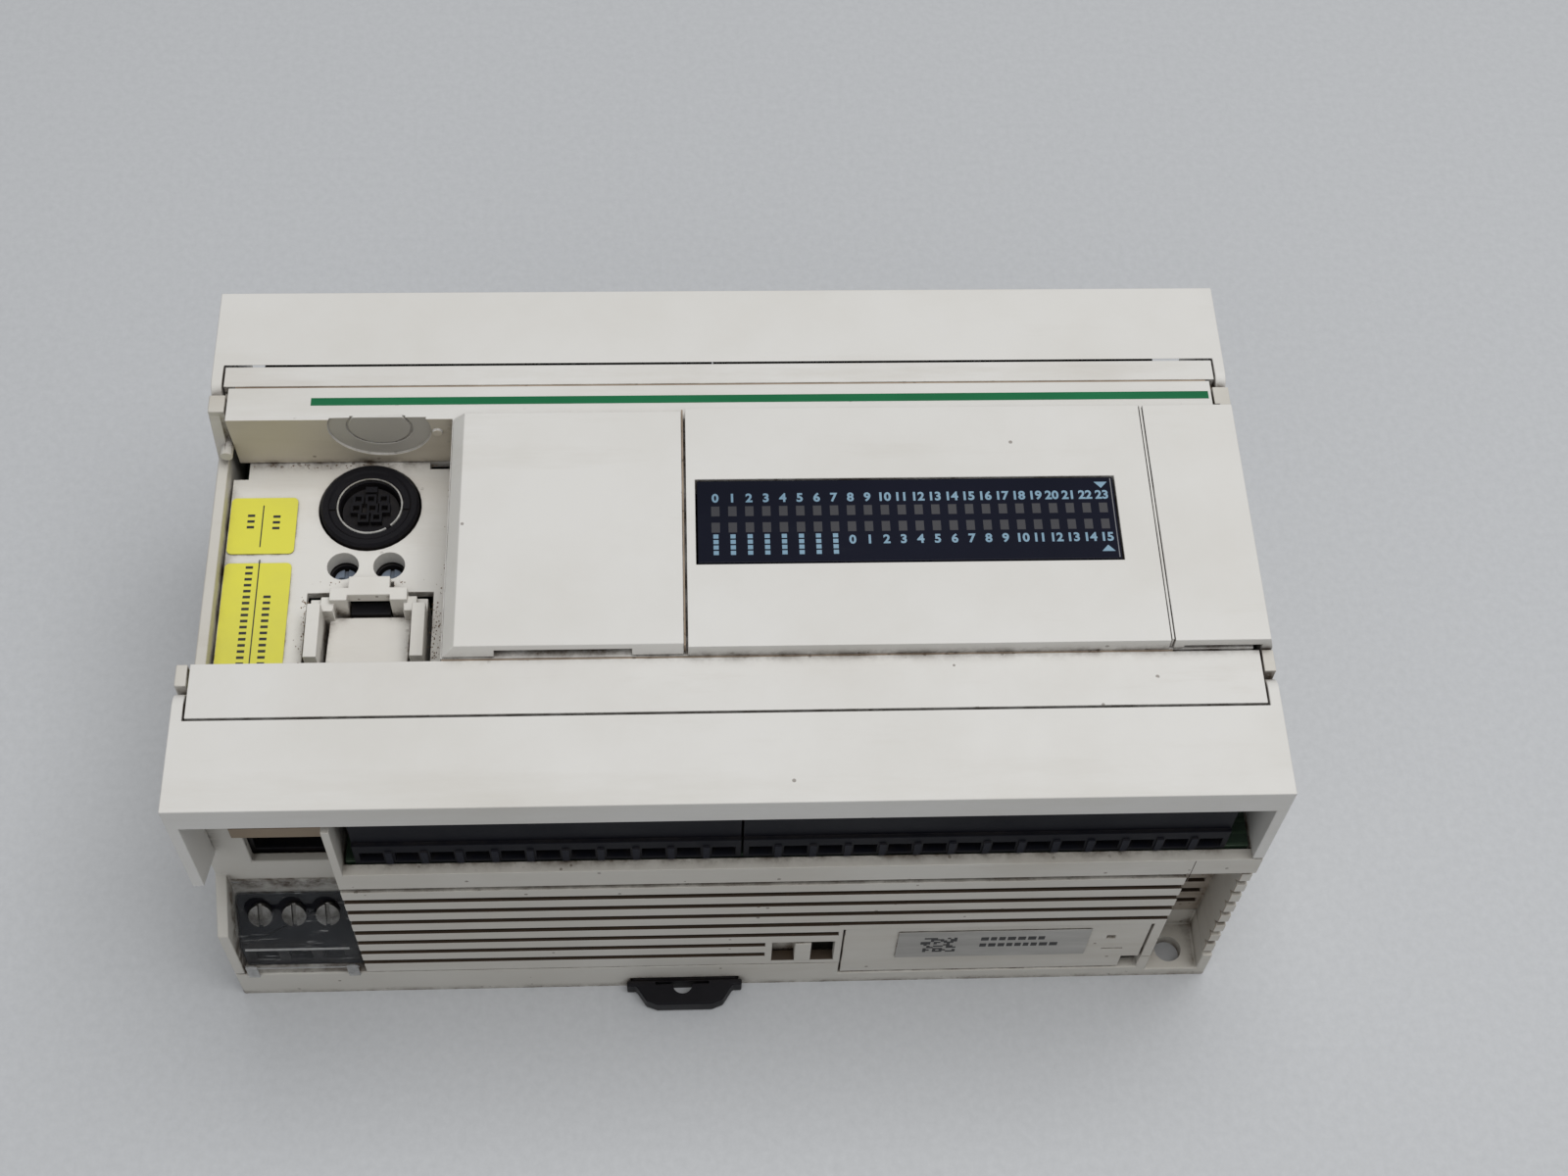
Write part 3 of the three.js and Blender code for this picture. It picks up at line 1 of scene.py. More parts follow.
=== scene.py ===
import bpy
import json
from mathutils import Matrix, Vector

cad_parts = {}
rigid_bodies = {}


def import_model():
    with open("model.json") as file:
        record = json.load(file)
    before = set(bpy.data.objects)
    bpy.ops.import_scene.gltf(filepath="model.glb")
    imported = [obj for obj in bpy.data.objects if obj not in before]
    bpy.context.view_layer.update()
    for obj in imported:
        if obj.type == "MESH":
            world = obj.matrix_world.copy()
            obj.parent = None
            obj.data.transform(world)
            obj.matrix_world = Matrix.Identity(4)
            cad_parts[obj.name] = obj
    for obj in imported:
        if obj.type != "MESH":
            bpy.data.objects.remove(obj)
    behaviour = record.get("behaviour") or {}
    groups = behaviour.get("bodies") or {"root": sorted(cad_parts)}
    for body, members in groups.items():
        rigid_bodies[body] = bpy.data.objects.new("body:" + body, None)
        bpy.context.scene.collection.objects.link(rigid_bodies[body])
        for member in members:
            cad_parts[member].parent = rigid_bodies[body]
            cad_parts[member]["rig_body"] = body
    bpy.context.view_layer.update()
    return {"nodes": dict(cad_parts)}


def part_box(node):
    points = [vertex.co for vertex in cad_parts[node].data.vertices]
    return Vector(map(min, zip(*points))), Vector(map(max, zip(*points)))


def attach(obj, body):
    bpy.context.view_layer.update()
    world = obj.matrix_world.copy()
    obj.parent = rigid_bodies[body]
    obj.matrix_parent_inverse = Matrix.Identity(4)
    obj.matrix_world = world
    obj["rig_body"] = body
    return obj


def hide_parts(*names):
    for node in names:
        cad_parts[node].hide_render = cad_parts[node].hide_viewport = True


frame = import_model()

import json
import math
import random

import bmesh
import bpy
from mathutils import Matrix, Vector

# --- Rear tray -------------------------------------------------------------------------------
# The back half of the housing, injection moulded in warm off-white polycarbonate blend. It has
# a channel for a 35 mm rail, two screw lugs and a slot for the rail clip. The mould leaves a fine
# satin grain. Its faces are painted darker than the front as shade, and its corners dark brown, dust with
# painted shade.
MM = 0.001
CASE = (0.70, 0.685, 0.655, 1)
CASE_SOILED = (0.545, 0.515, 0.455, 1)
# Dark brown for stuck specks of dust, and for dust with painted shade where faces meet.
DUST_AND_SHADE_BROWN = (0.085, 0.055, 0.032, 1)


def make_group(name, inputs, outputs):
    """An empty node group with the given float inputs and outputs, and its two end nodes."""
    group = bpy.data.node_groups.new(name, "ShaderNodeTree")
    for label, value in inputs.items():
        socket = group.interface.new_socket(label, in_out="INPUT", socket_type="NodeSocketFloat")
        socket.default_value = value
    for label in outputs:
        group.interface.new_socket(label, in_out="OUTPUT", socket_type="NodeSocketFloat")
    return group, group.nodes.new("NodeGroupInput"), group.nodes.new("NodeGroupOutput")


def add_node(tree, kind, settings=None, **links):
    """A shader node. settings are its properties, and links its inputs: sockets to join or plain values."""
    node = tree.nodes.new("ShaderNode" + kind)
    for key, value in (settings or {}).items():
        setattr(node, key, value)
    for key, value in links.items():
        name = key.replace("_", " ")
        socket = node.inputs[int(key[1:])] if key[0] == "i" and key[1:].isdigit() else node.inputs[name]
        if isinstance(value, bpy.types.NodeSocket):
            tree.links.new(value, socket)
        else:
            socket.default_value = value
    return node


def add_math(tree, operation, first, second=0.0, clamp=False):
    """The output of one math node."""
    return add_node(
        tree, "Math", {"operation": operation, "use_clamp": clamp}, i0=first, i1=second
    ).outputs[0]


def add_line(tree, factor, slope, start):
    """A value that goes from start by slope as the factor goes from 0 to 1."""
    return add_node(tree, "Math", {"operation": "MULTIPLY_ADD"}, i0=factor, i1=slope, i2=start).outputs[0]


def add_ramp(tree, factor, stops):
    """A colour ramp's colour output. stops are (position, grey value)."""
    ramp = add_node(tree, "ValToRGB", Fac=factor)
    while len(ramp.color_ramp.elements) < len(stops):
        ramp.color_ramp.elements.new(0.5)
    for element, (position, grey) in zip(ramp.color_ramp.elements, stops):
        element.position = position
        element.color = (grey, grey, grey, 1)
    return ramp.outputs["Color"]


def mix_colour(tree, factor, first, second):
    """The colour between two colours."""
    node = add_node(tree, "Mix", {"data_type": "RGBA"}, i0=factor)
    for socket, value in ((node.inputs[6], first), (node.inputs[7], second)):
        if isinstance(value, bpy.types.NodeSocket):
            tree.links.new(value, socket)
        else:
            socket.default_value = value
    return node.outputs[2]


# Moulded grain: a fine height for the bump and a broad mottle for the colour.
grain_group, grain_in, grain_out = make_group("moulded_grain", {"Fineness": 4000.0}, ["Height", "Mottle"])
place = add_node(grain_group, "TexCoord").outputs["Object"]
fine = add_node(grain_group, "TexNoise", Vector=place, Scale=grain_in.outputs["Fineness"], Detail=3.0)
broad = add_node(grain_group, "TexNoise", Vector=place, Scale=38.0, Detail=5.0, Roughness=0.62)
grain_group.links.new(fine.outputs["Fac"], grain_out.inputs["Height"])
grain_group.links.new(
    add_ramp(grain_group, broad.outputs["Fac"], [(0.38, 0), (0.66, 1)]), grain_out.inputs["Mottle"]
)

# Corner dust and painted shade: an occlusion mask that marks where faces meet and shade falls, broken up by
# patches.
dust_and_shade_group, dust_and_shade_in, dust_and_shade_out = make_group("corner_dust_and_shade", {"Reach": 0.003, "Amount": 1.0}, ["Mask"])
place = add_node(dust_and_shade_group, "TexCoord").outputs["Object"]
closed = add_node(dust_and_shade_group, "AmbientOcclusion", {"samples": 6}, Distance=dust_and_shade_in.outputs["Reach"])
patches = add_node(dust_and_shade_group, "TexNoise", Vector=place, Scale=210.0, Detail=6.0, Roughness=0.7)
hidden = add_math(dust_and_shade_group, "SUBTRACT", 1.0, closed.outputs["AO"])
broken = add_ramp(dust_and_shade_group, patches.outputs["Fac"], [(0.38, 0.10), (0.60, 1)])
thick = add_math(dust_and_shade_group, "MULTIPLY", add_ramp(dust_and_shade_group, hidden, [(0.13, 0), (0.58, 1)]), broken)
dust_and_shade_group.links.new(
    add_math(dust_and_shade_group, "MULTIPLY", thick, dust_and_shade_in.outputs["Amount"], clamp=True), dust_and_shade_out.inputs["Mask"]
)

# Specks: fine dark grains stuck to the surface, thicker where Density is higher.
speck_group, speck_in, speck_out = make_group("stuck_specks", {"Density": 0.05}, ["Mask"])
place = add_node(speck_group, "TexCoord").outputs["Object"]
scatter = add_node(speck_group, "TexVoronoi", Vector=place, Scale=720.0)
pick = add_node(speck_group, "SeparateColor", Color=scatter.outputs["Color"])
small = add_math(speck_group, "LESS_THAN", scatter.outputs["Distance"], 0.21)
chosen = add_math(speck_group, "LESS_THAN", pick.outputs["Red"], speck_in.outputs["Density"])
speck_group.links.new(add_math(speck_group, "MULTIPLY", small, chosen), speck_out.inputs["Mask"])

# Handling marks: faint grey rubs drawn out along the length of the case.
rub_group, rub_in, rub_out = make_group("handling_marks", {"Amount": 1.0}, ["Mask"])
place = add_node(rub_group, "TexCoord").outputs["Object"]
drawn = add_node(rub_group, "Mapping", Vector=place, Scale=(9.0, 60.0, 60.0)).outputs["Vector"]
rubs = add_node(rub_group, "TexNoise", Vector=drawn, Scale=1.0, Detail=7.0, Roughness=0.66)
faint = add_ramp(rub_group, rubs.outputs["Fac"], [(0.54, 0), (0.72, 1)])
rub_group.links.new(
    add_math(rub_group, "MULTIPLY", faint, rub_in.outputs["Amount"], clamp=True), rub_out.inputs["Mask"]
)


def use_group(tree, group, **values):
    """A copy of a node group in a material, with its own input values."""
    node = tree.nodes.new("ShaderNodeGroup")
    node.node_tree = group
    for key, value in values.items():
        node.inputs[key.replace("_", " ")].default_value = value
    return node


def start_material(name, **sockets):
    """A material with a Principled shader: its tree, its shader and itself."""
    material = bpy.data.materials.new(name)
    material.use_nodes = True
    shader = material.node_tree.nodes["Principled BSDF"]
    for key, value in sockets.items():
        shader.inputs[key.replace("_", " ")].default_value = value
    return material, material.node_tree, shader


def add_bump(tree, shader, height, distance, strength=1.0):
    """Feeds a height into the shader's normal. distance is in metres."""
    bump = add_node(tree, "Bump", Strength=strength, Distance=distance, Height=height)
    tree.links.new(bump.outputs["Normal"], shader.inputs["Normal"])


def paint(tree, shader, factor, first, second):
    """Gives the shader the colour between two colours."""
    tree.links.new(mix_colour(tree, factor, first, second), shader.inputs["Base Color"])


def case_material(name, colour, soiled, dust, rubs, specks=0.0007):
    """Off-white moulded plastic. dust says how brown it turns where faces meet, which is dust with painted
    shade; rubs and specks say how dirty this moulding is.
    """
    material, tree, shader = start_material(name, IOR=1.46, Specular_IOR_Level=0.35)
    grain = use_group(tree, grain_group, Fineness=3600.0)
    marks = use_group(tree, rub_group, Amount=rubs)
    corners = use_group(tree, dust_and_shade_group, Reach=0.0024, Amount=dust)
    grains = use_group(tree, speck_group)
    density = add_line(tree, corners.outputs["Mask"], 0.9, specks)
    tree.links.new(density, grains.inputs["Density"])
    mottled = mix_colour(tree, add_math(tree, "MULTIPLY", grain.outputs["Mottle"], 0.22), colour, soiled)
    rubbed = mix_colour(tree, marks.outputs["Mask"], mottled, soiled)
    speckled = mix_colour(tree, add_math(tree, "MULTIPLY", grains.outputs["Mask"], 0.6), rubbed, DUST_AND_SHADE_BROWN)
    # Where faces meet the plastic turns dark brown: dust, and painted shade.
    paint(tree, shader, corners.outputs["Mask"], speckled, DUST_AND_SHADE_BROWN)
    dull = add_line(tree, grain.outputs["Mottle"], 0.12, 0.44)
    rough = add_math(tree, "ADD", dull, add_math(tree, "MULTIPLY", corners.outputs["Mask"], 0.3), clamp=True)
    tree.links.new(rough, shader.inputs["Roughness"])
    add_bump(tree, shader, grain.outputs["Height"], 0.02 * MM, 0.5)
    return material


case_plastic = case_material("case_plastic", CASE, CASE_SOILED, 0.9, 0.45)
# The sides get a darker, browner copy of the case plastic: painted shade for faces that turn away from the
# light.
shaded_side_plastic = case_material(
    "shaded_side_plastic", (0.61, 0.585, 0.535, 1), (0.42, 0.375, 0.305, 1), 1.0, 0.45, 0.03
)


def round_edges(shape, radius, steps=2):
    """Rounds the sharp edges of a mesh, other than those too close to their neighbours."""
    near = {v for e in shape.edges if e.calc_length() < 2.4 * radius for v in e.verts}
    sharp = [
        e
        for e in shape.edges
        if e.is_manifold and e.calc_face_angle() > math.radians(28) and not near & set(e.verts)
    ]
    bmesh.ops.bevel(
        shape, geom=sharp, offset=radius, segments=steps, profile=0.5, affect="EDGES", clamp_overlap=False
    )


def add_piece(name, shape, body, slot, *materials):
    """Makes a bmesh into a piece that moves with one body."""
    mesh = bpy.data.meshes.new(name)
    bmesh.ops.recalc_face_normals(shape, faces=shape.faces)
    shape.to_mesh(mesh)
    shape.free()
    for face in mesh.polygons:
        face.use_smooth = True
    mesh.set_sharp_from_angle(angle=math.radians(36))
    for material in materials:
        mesh.materials.append(material)
    piece = bpy.data.objects.new(name, mesh)
    bpy.context.scene.collection.objects.link(piece)
    even = piece.modifiers.new("even_shading", "WEIGHTED_NORMAL")
    even.keep_sharp = True
    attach(piece, body)
    return piece


def cad_shape(node):
    """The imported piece's shape with its flat faces joined up."""
    shape = bmesh.new()
    shape.from_mesh(frame["nodes"][node].data)
    bmesh.ops.remove_doubles(shape, verts=shape.verts, dist=0.002 * MM)
    bmesh.ops.dissolve_limit(
        shape, angle_limit=math.radians(0.6), verts=shape.verts, edges=shape.edges
    )
    return shape


def moulded(name, node, radius, slot, *finishes, pick=None):
    """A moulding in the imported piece's shape with rounded edges, in its place.

    pick gives a face's finish by number, from its middle in millimetres and its normal."""
    shape = cad_shape(node)
    round_edges(shape, radius * MM)
    shape.normal_update()
    if pick:
        for face in shape.faces:
            face.material_index = int(pick(face.calc_center_median() / MM, face.normal))
    piece = add_piece(name, shape, frame["nodes"][node]["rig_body"], slot, *finishes)
    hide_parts(node)
    return piece


moulded("rear_tray", "rear_base", 0.3, "case_plastic", shaded_side_plastic)

# --- Rail clip -------------------------------------------------------------------------------
# The black slide that locks the case to the rail. It is moulded in glass-filled nylon, which has
# a slightly streaky satin surface, and a screwdriver pulls it by the slot in its end.
BLACK = (0.0065, 0.006, 0.008, 1)


def black_material(name, colour, rough, dust):
    """Black or navy moulded plastic with a fine grain and grey dust in its corners."""
    material, tree, shader = start_material(name, IOR=1.45, Specular_IOR_Level=0.17)
    grain = use_group(tree, grain_group, Fineness=5200.0)
    corners = use_group(tree, dust_and_shade_group, Reach=0.0016, Amount=dust)
    pale = tuple(1.2 * c + 0.003 for c in colour[:3]) + (1,)
    mottled = mix_colour(tree, add_math(tree, "MULTIPLY", grain.outputs["Mottle"], 0.5), colour, pale)
    grey_dust = (0.075, 0.062, 0.05, 1)
    paint(tree, shader, corners.outputs["Mask"], mottled, grey_dust)
    tree.links.new(add_line(tree, grain.outputs["Mottle"], 0.15, rough), shader.inputs["Roughness"])
    add_bump(tree, shader, grain.outputs["Height"], 0.02 * MM, 0.6)
    return material


black_plastic = black_material("black_plastic", BLACK, 0.38, 0.25)
moulded("clip_slide", "rail_clip", 0.25, "black_plastic", black_plastic)

# --- Circuit boards --------------------------------------------------------------------------
# Three glass-fibre boards under green solder resist: power at the back, logic above it, and the
# board that carries the field terminals. Copper tracks show through the resist as lighter bands.


def add_box(shape, low, high):
    """Adds a box between two corners to a shape, and gives its vertices."""
    middle = (Vector(low) + Vector(high)) / 2
    size = Vector(high) - Vector(low)
    place = Matrix.Translation(middle) @ Matrix.Diagonal((*size, 1))
    return bmesh.ops.create_cube(shape, size=1, matrix=place)["verts"]


board_green, tree, shader = start_material("board_green", Roughness=0.4, IOR=1.5, Coat_Weight=0.15)
place = add_node(tree, "TexCoord").outputs["Object"]
tracks = add_node(tree, "TexBrick", {"offset": 0.37, "squash": 1.4}, Vector=place, Scale=130.0)
tracks.inputs["Mortar Size"].default_value = 0.035
copper = add_math(tree, "SUBTRACT", 1.0, tracks.outputs["Fac"])
ground = add_node(tree, "TexNoise", Vector=place, Scale=900.0, Detail=2.0).outputs["Fac"]
resist = mix_colour(tree, copper, (0.030, 0.062, 0.034, 1), (0.013, 0.036, 0.020, 1))
weave = mix_colour(tree, add_math(tree, "MULTIPLY", ground, 0.25), resist, (0.05, 0.062, 0.04, 1))
tree.links.new(weave, shader.inputs["Base Color"])
add_bump(tree, shader, tracks.outputs["Fac"], 0.03 * MM, 0.7)
for name in ("power_board", "logic_board", "io_board"):
    moulded(name + "_laminate", name, 0.12, "circuit_board", board_green)

# --- Parts on the boards ---------------------------------------------------------------------
# Transformer with a ferrite core and taped winding, a smoothing capacitor in a shrunk sleeve, four
# output relays, the processor in its flat package and the pin link between two of the boards.


def add_noise(tree, **settings):
    """A noise from 0 to 1 that is fixed to the piece."""
    place = add_node(tree, "TexCoord").outputs["Object"]
    return add_node(tree, "TexNoise", Vector=place, **settings).outputs["Fac"]


ferrite, tree, shader = start_material("ferrite", Roughness=0.7)
speckle = add_noise(tree, Scale=2600.0, Detail=4.0)
paint(tree, shader, speckle, (0.018, 0.017, 0.016, 1), (0.07, 0.066, 0.06, 1))
add_bump(tree, shader, speckle, 0.05 * MM)

tape, tree, shader = start_material("winding_tape", Roughness=0.3, IOR=1.5)
place = add_node(tree, "TexCoord").outputs["Object"]
layers = add_node(tree, "TexWave", {"bands_direction": "Z"}, Vector=place, Scale=220.0, Distortion=1.5)
paint(tree, shader, layers.outputs["Fac"], (0.42, 0.26, 0.03, 1), (0.55, 0.37, 0.06, 1))
add_bump(tree, shader, layers.outputs["Fac"], 0.05 * MM, 0.5)

low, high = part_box("transformer")
core = bmesh.new()
yoke = 7 * MM
for x0, x1 in ((low.x, low.x + yoke), (high.x - yoke, high.x)):
    add_box(core, (x0, low.y + 3 * MM, low.z + 2 * MM), (x1, high.y - 3 * MM, high.z))
for z0, z1 in ((low.z + 2 * MM, low.z + 8 * MM), (high.z - 6 * MM, high.z)):
    add_box(
        core, (low.x + yoke + 0.05 * MM, low.y + 3 * MM, z0), (high.x - yoke - 0.05 * MM, high.y - 3 * MM, z1)
    )
round_edges(core, 0.4 * MM)
core = add_piece("transformer_yoke", core, "controller", "transformer_core", ferrite)
winding = bmesh.new()
add_box(winding, (low.x + 8 * MM, low.y, low.z + 9 * MM), (high.x - 8 * MM, high.y, high.z - 7 * MM))
round_edges(winding, 3 * MM, 5)
for z in (low.z, low.z + 8.2 * MM, high.z - 6.8 * MM):
    add_box(
        winding, (low.x + 7.6 * MM, low.y + 1 * MM, z), (high.x - 7.6 * MM, high.y - 1 * MM, z + 0.8 * MM)
    )
add_piece("transformer_winding", winding, "controller", "transformer_core", tape)
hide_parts("transformer")


def add_turned(shape, profile, centre, turn=Matrix.Identity(4), steps=48):
    """Adds a turned shape. profile is [(radius, height)] from one end to the other, about Z, then turned."""
    rings = []
    for radius, height in profile:
        count = steps if radius > 0 else 1
        ring = []
        for i in range(count):
            angle = math.tau * i / count
            point = turn @ Vector((radius * math.cos(angle), radius * math.sin(angle), height))
            ring.append(shape.verts.new(Vector(centre) + point))
        rings.append(ring)
    for ring, after in zip(rings, rings[1:]):
        if len(ring) == 1 and len(after) == 1:
            continue
        for i in range(steps):
            j = (i + 1) % steps
            corners = [ring[i % len(ring)], ring[j % len(ring)], after[j % len(after)], after[i % len(after)]]
            shape.faces.new(list(dict.fromkeys(corners)))


sleeve, tree, shader = start_material("capacitor_sleeve", Roughness=0.25, IOR=1.5)
wrinkle = add_noise(tree, Scale=420.0, Detail=3.0)
paint(tree, shader, wrinkle, (0.010, 0.014, 0.030, 1), (0.022, 0.028, 0.05, 1))
add_bump(tree, shader, wrinkle, 0.06 * MM, 0.4)
low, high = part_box("bulk_capacitor")
radius = (high.x - low.x) / 2
tall = high.z - low.z
can = bmesh.new()
outline = [
    (0, 0), (radius - 0.8 * MM, 0), (radius, 0.8 * MM), (radius, 2.4 * MM), (radius - 0.9 * MM, 3.2 * MM)
]
outline += [
    (radius - 0.9 * MM, 3.8 * MM),
    (radius, 4.6 * MM),
    (radius, tall - 1 * MM),
    (radius - 0.6 * MM, tall - 0.2 * MM),
]
outline += [(radius - 1.6 * MM, tall), (radius - 2.2 * MM, tall - 0.5 * MM), (0, tall - 0.5 * MM)]
add_turned(can, outline, ((low.x + high.x) / 2, (low.y + high.y) / 2, low.z))
can = add_piece("capacitor_can", can, "controller", "capacitor_sleeve", sleeve)
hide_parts("bulk_capacitor")

relay_black = black_material("relay_black", (0.02, 0.02, 0.023, 1), 0.24, 0.1)
for i in range(1, 5):
    low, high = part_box("output_relay_%d" % i)
    cover = bmesh.new()
    add_box(cover, (low.x, low.y, low.z + 1.2 * MM), high)
    round_edges(cover, 0.5 * MM, 3)
    add_box(
        cover,
        (low.x + 0.4 * MM, low.y + 0.4 * MM, low.z),
        (high.x - 0.4 * MM, high.y - 0.4 * MM, low.z + 1.1 * MM),
    )
    add_box(
        cover,
        (low.x + 2 * MM, low.y + 2 * MM, high.z - 0.1 * MM),
        (low.x + 3 * MM, low.y + 3 * MM, high.z + 0.2 * MM),
    )
    cover = add_piece("relay_cover_%d" % i, cover, "controller", "relay_plastic", relay_black)
    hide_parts("output_relay_%d" % i)

tin, tree, shader = start_material("tinned_metal", Metallic=1.0)
tarnish = add_noise(tree, Scale=1500.0, Detail=4.0)
paint(tree, shader, tarnish, (0.40, 0.39, 0.37, 1), (0.66, 0.65, 0.62, 1))
tree.links.new(add_line(tree, tarnish, 0.3, 0.2), shader.inputs["Roughness"])

low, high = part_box("processor")
package = bmesh.new()
add_box(
    package, (low.x + 2 * MM, low.y + 2 * MM, low.z + 0.2 * MM), (high.x - 2 * MM, high.y - 2 * MM, high.z)
)
round_edges(package, 0.25 * MM)
package = add_piece("processor_package", package, "controller", "black_plastic", black_plastic)
pins = bmesh.new()
PINS = 22
for i in range(PINS):
    along = 3.2 * MM + i * (high.x - low.x - 6.4 * MM) / (PINS - 1)
    for x0, x1 in ((low.x, low.x + 1.9 * MM), (high.x - 1.9 * MM, high.x)):
        add_box(
            pins, (x0, low.y + along - 0.15 * MM, low.z), (x1, low.y + along + 0.15 * MM, low.z + 0.3 * MM)
        )
    for y0, y1 in ((low.y, low.y + 1.9 * MM), (high.y - 1.9 * MM, high.y)):
        add_box(
            pins, (low.x + along - 0.15 * MM, y0, low.z), (low.x + along + 0.15 * MM, y1, low.z + 0.3 * MM)
        )
add_piece("processor_pins", pins, "controller", "plated_ring", tin)
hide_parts("processor")

low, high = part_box("board_link")
strip = bmesh.new()
pins = bmesh.new()
for z0, z1 in ((low.z, low.z + 2.5 * MM), (high.z - 2.5 * MM, high.z)):
    add_box(strip, (low.x, low.y, z0), (high.x, high.y, z1))
round_edges(strip, 0.2 * MM)
WAYS = 15
for i in range(WAYS):
    y = low.y + (i + 0.5) * (high.y - low.y) / WAYS
    for x in (low.x + 1.25 * MM, high.x - 1.25 * MM):
        add_box(
            pins,
            (x - 0.3 * MM, y - 0.3 * MM, low.z + 2.4 * MM),
            (x + 0.3 * MM, y + 0.3 * MM, high.z - 2.4 * MM),
        )
strip = add_piece("link_strips", strip, "controller", "black_plastic", black_plastic)
add_piece("link_pins", pins, "controller", "plated_ring", tin)
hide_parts("board_link")

# --- End walls and louvre walls --------------------------------------------------------------
# The sides of the housing, off-white like the rest and painted darker and browner as shade. The long sides
# are louvred for cooling, the right end has a toothed edge, and the left end holds the network socket.
# Faces inside the louvre slots and the ledge split are painted near-black brown, and the screw pocket's faces
# a darker brown: painted shade, with some dust.
slot_shade_and_dust = case_material("slot_shade_and_dust", (0.062, 0.043, 0.029, 1), (0.026, 0.017, 0.011, 1), 0.8, 0.5, 0.2)
pocket_shade_and_dust = case_material("pocket_shade_and_dust", (0.42, 0.37, 0.31, 1), (0.22, 0.165, 0.12, 1), 1.0, 0.7, 0.12)
near_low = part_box("lower_louvre_wall")[0]
far_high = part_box("upper_louvre_wall")[1]
LEDGE_FOOT = 37.8
LEDGE_SPLIT = (68.45, 68.57)
CORNER_DEPTH = 7.9
POCKET_RIGHT = 77.0
POCKET_TOP = 61.0


def in_slot(middle, normal):
    """True for the faces inside the louvre slots."""
    depth = min(abs(middle.y - near_low.y / MM), abs(middle.y - far_high.y / MM))
    return depth > 0.02 and middle.z < LEDGE_FOOT + 0.2 and abs(normal.x) < 0.9


POCKET_BACK = near_low.y / MM + CORNER_DEPTH


def pocket_finish(middle, normal):
    """2 inside the slots at the back of the screw's pocket, 1 on its other faces, 0 elsewhere."""
    if middle.x > POCKET_RIGHT or middle.z > POCKET_TOP:
        return 0
    if POCKET_BACK + 0.1 < middle.y < POCKET_BACK + 3 and abs(normal.z) > 0.5 and middle.z < LEDGE_FOOT + 1:
        return 2
    return 1 if middle.y < POCKET_BACK + 0.3 else 0


moulded("left_end", "left_end_wall", 0.25, "case_plastic", shaded_side_plastic)
right_finishes = (shaded_side_plastic, pocket_shade_and_dust, slot_shade_and_dust)
moulded("right_end", "right_end_wall", 0.12, "case_plastic", *right_finishes, pick=pocket_finish)
moulded("lower_louvres", "lower_louvre_wall", 0.12, "case_plastic", shaded_side_plastic, slot_shade_and_dust, pick=in_slot)
moulded("upper_louvres", "upper_louvre_wall", 0.12, "case_plastic", shaded_side_plastic, slot_shade_and_dust, pick=in_slot)
split = bmesh.new()
add_box(
    split,
    (LEDGE_SPLIT[0] * MM, near_low.y - 0.015 * MM, (LEDGE_FOOT + 0.2) * MM),
    (LEDGE_SPLIT[1] * MM, near_low.y + 0.1 * MM, 45.4 * MM),
)
add_piece("ledge_split", split, "controller", "case_plastic", slot_shade_and_dust)

# --- Field terminals -------------------------------------------------------------------------
# Four rows of rising-clamp screw terminals moulded in navy-black plastic. Each way has a wire
# window towards the cable side, a plated clamp behind it and a slotted screw down its well.
NAVY = (0.0022, 0.0026, 0.0062, 1)
PITCH = 5.08 * MM
terminal_navy = black_material("terminal_navy", NAVY, 0.5, 0.25)
rib_navy = black_material("rib_navy", (0.010, 0.011, 0.018, 1), 0.55, 0.3)
screw_steel, tree, shader = start_material("screw_steel", Metallic=1.0)
zinc = add_noise(tree, Scale=2300.0, Detail=3.0)
shades = mix_colour(tree, zinc, (0.17, 0.165, 0.155, 1), (0.42, 0.41, 0.39, 1))
# Dark brown where faces meet on the screws: dirt, and painted shade.
corners = use_group(tree, dust_and_shade_group, Reach=0.0012, Amount=0.8)
paint(tree, shader, corners.outputs["Mask"], shades, (0.05, 0.04, 0.03, 1))
tree.links.new(add_line(tree, zinc, 0.35, 0.18), shader.inputs["Roughness"])
add_bump(tree, shader, zinc, 0.03 * MM, 0.4)


def add_screw_head(shape, centre, radius, height, turn=Matrix.Identity(4), slot_angle=0.0):
    """Adds a slotted cheese head: two half discs with the slot between them, on a thin base."""
    slot = 0.17 * radius
    base = [(0, 0), (radius, 0), (radius, 0.45 * height), (0, 0.45 * height)]
    add_turned(shape, base, centre, turn, 28)
    swing = turn @ Matrix.Rotation(slot_angle, 4, "Z")
    for side in (1, -1):
        edge = []
        for i in range(15):
            reach = math.sqrt(radius * radius - slot * slot)
            angle = math.pi * i / 14
            x = reach * math.cos(angle)
            y = max(slot, radius * math.sin(angle))
            edge.append((x, side * y))
        for z0, z1, shrink in ((0.45 * height, 0.85 * height, 1.0), (0.85 * height, height, 0.9)):
            low_ring = [shape.verts.new(Vector(centre) + swing @ Vector((x, y, z0))) for x, y in edge]
            high_ring = [
                shape.verts.new(
                    Vector(centre) + swing @ Vector((x * shrink, side * max(slot, abs(y) * shrink), z1))
                )
                for x, y in edge
            ]
            for i in range(len(edge)):
                j = (i + 1) % len(edge)
                shape.faces.new([low_ring[i], low_ring[j], high_ring[j], high_ring[i]])
            if z1 == height:
                shape.faces.new(high_ring)


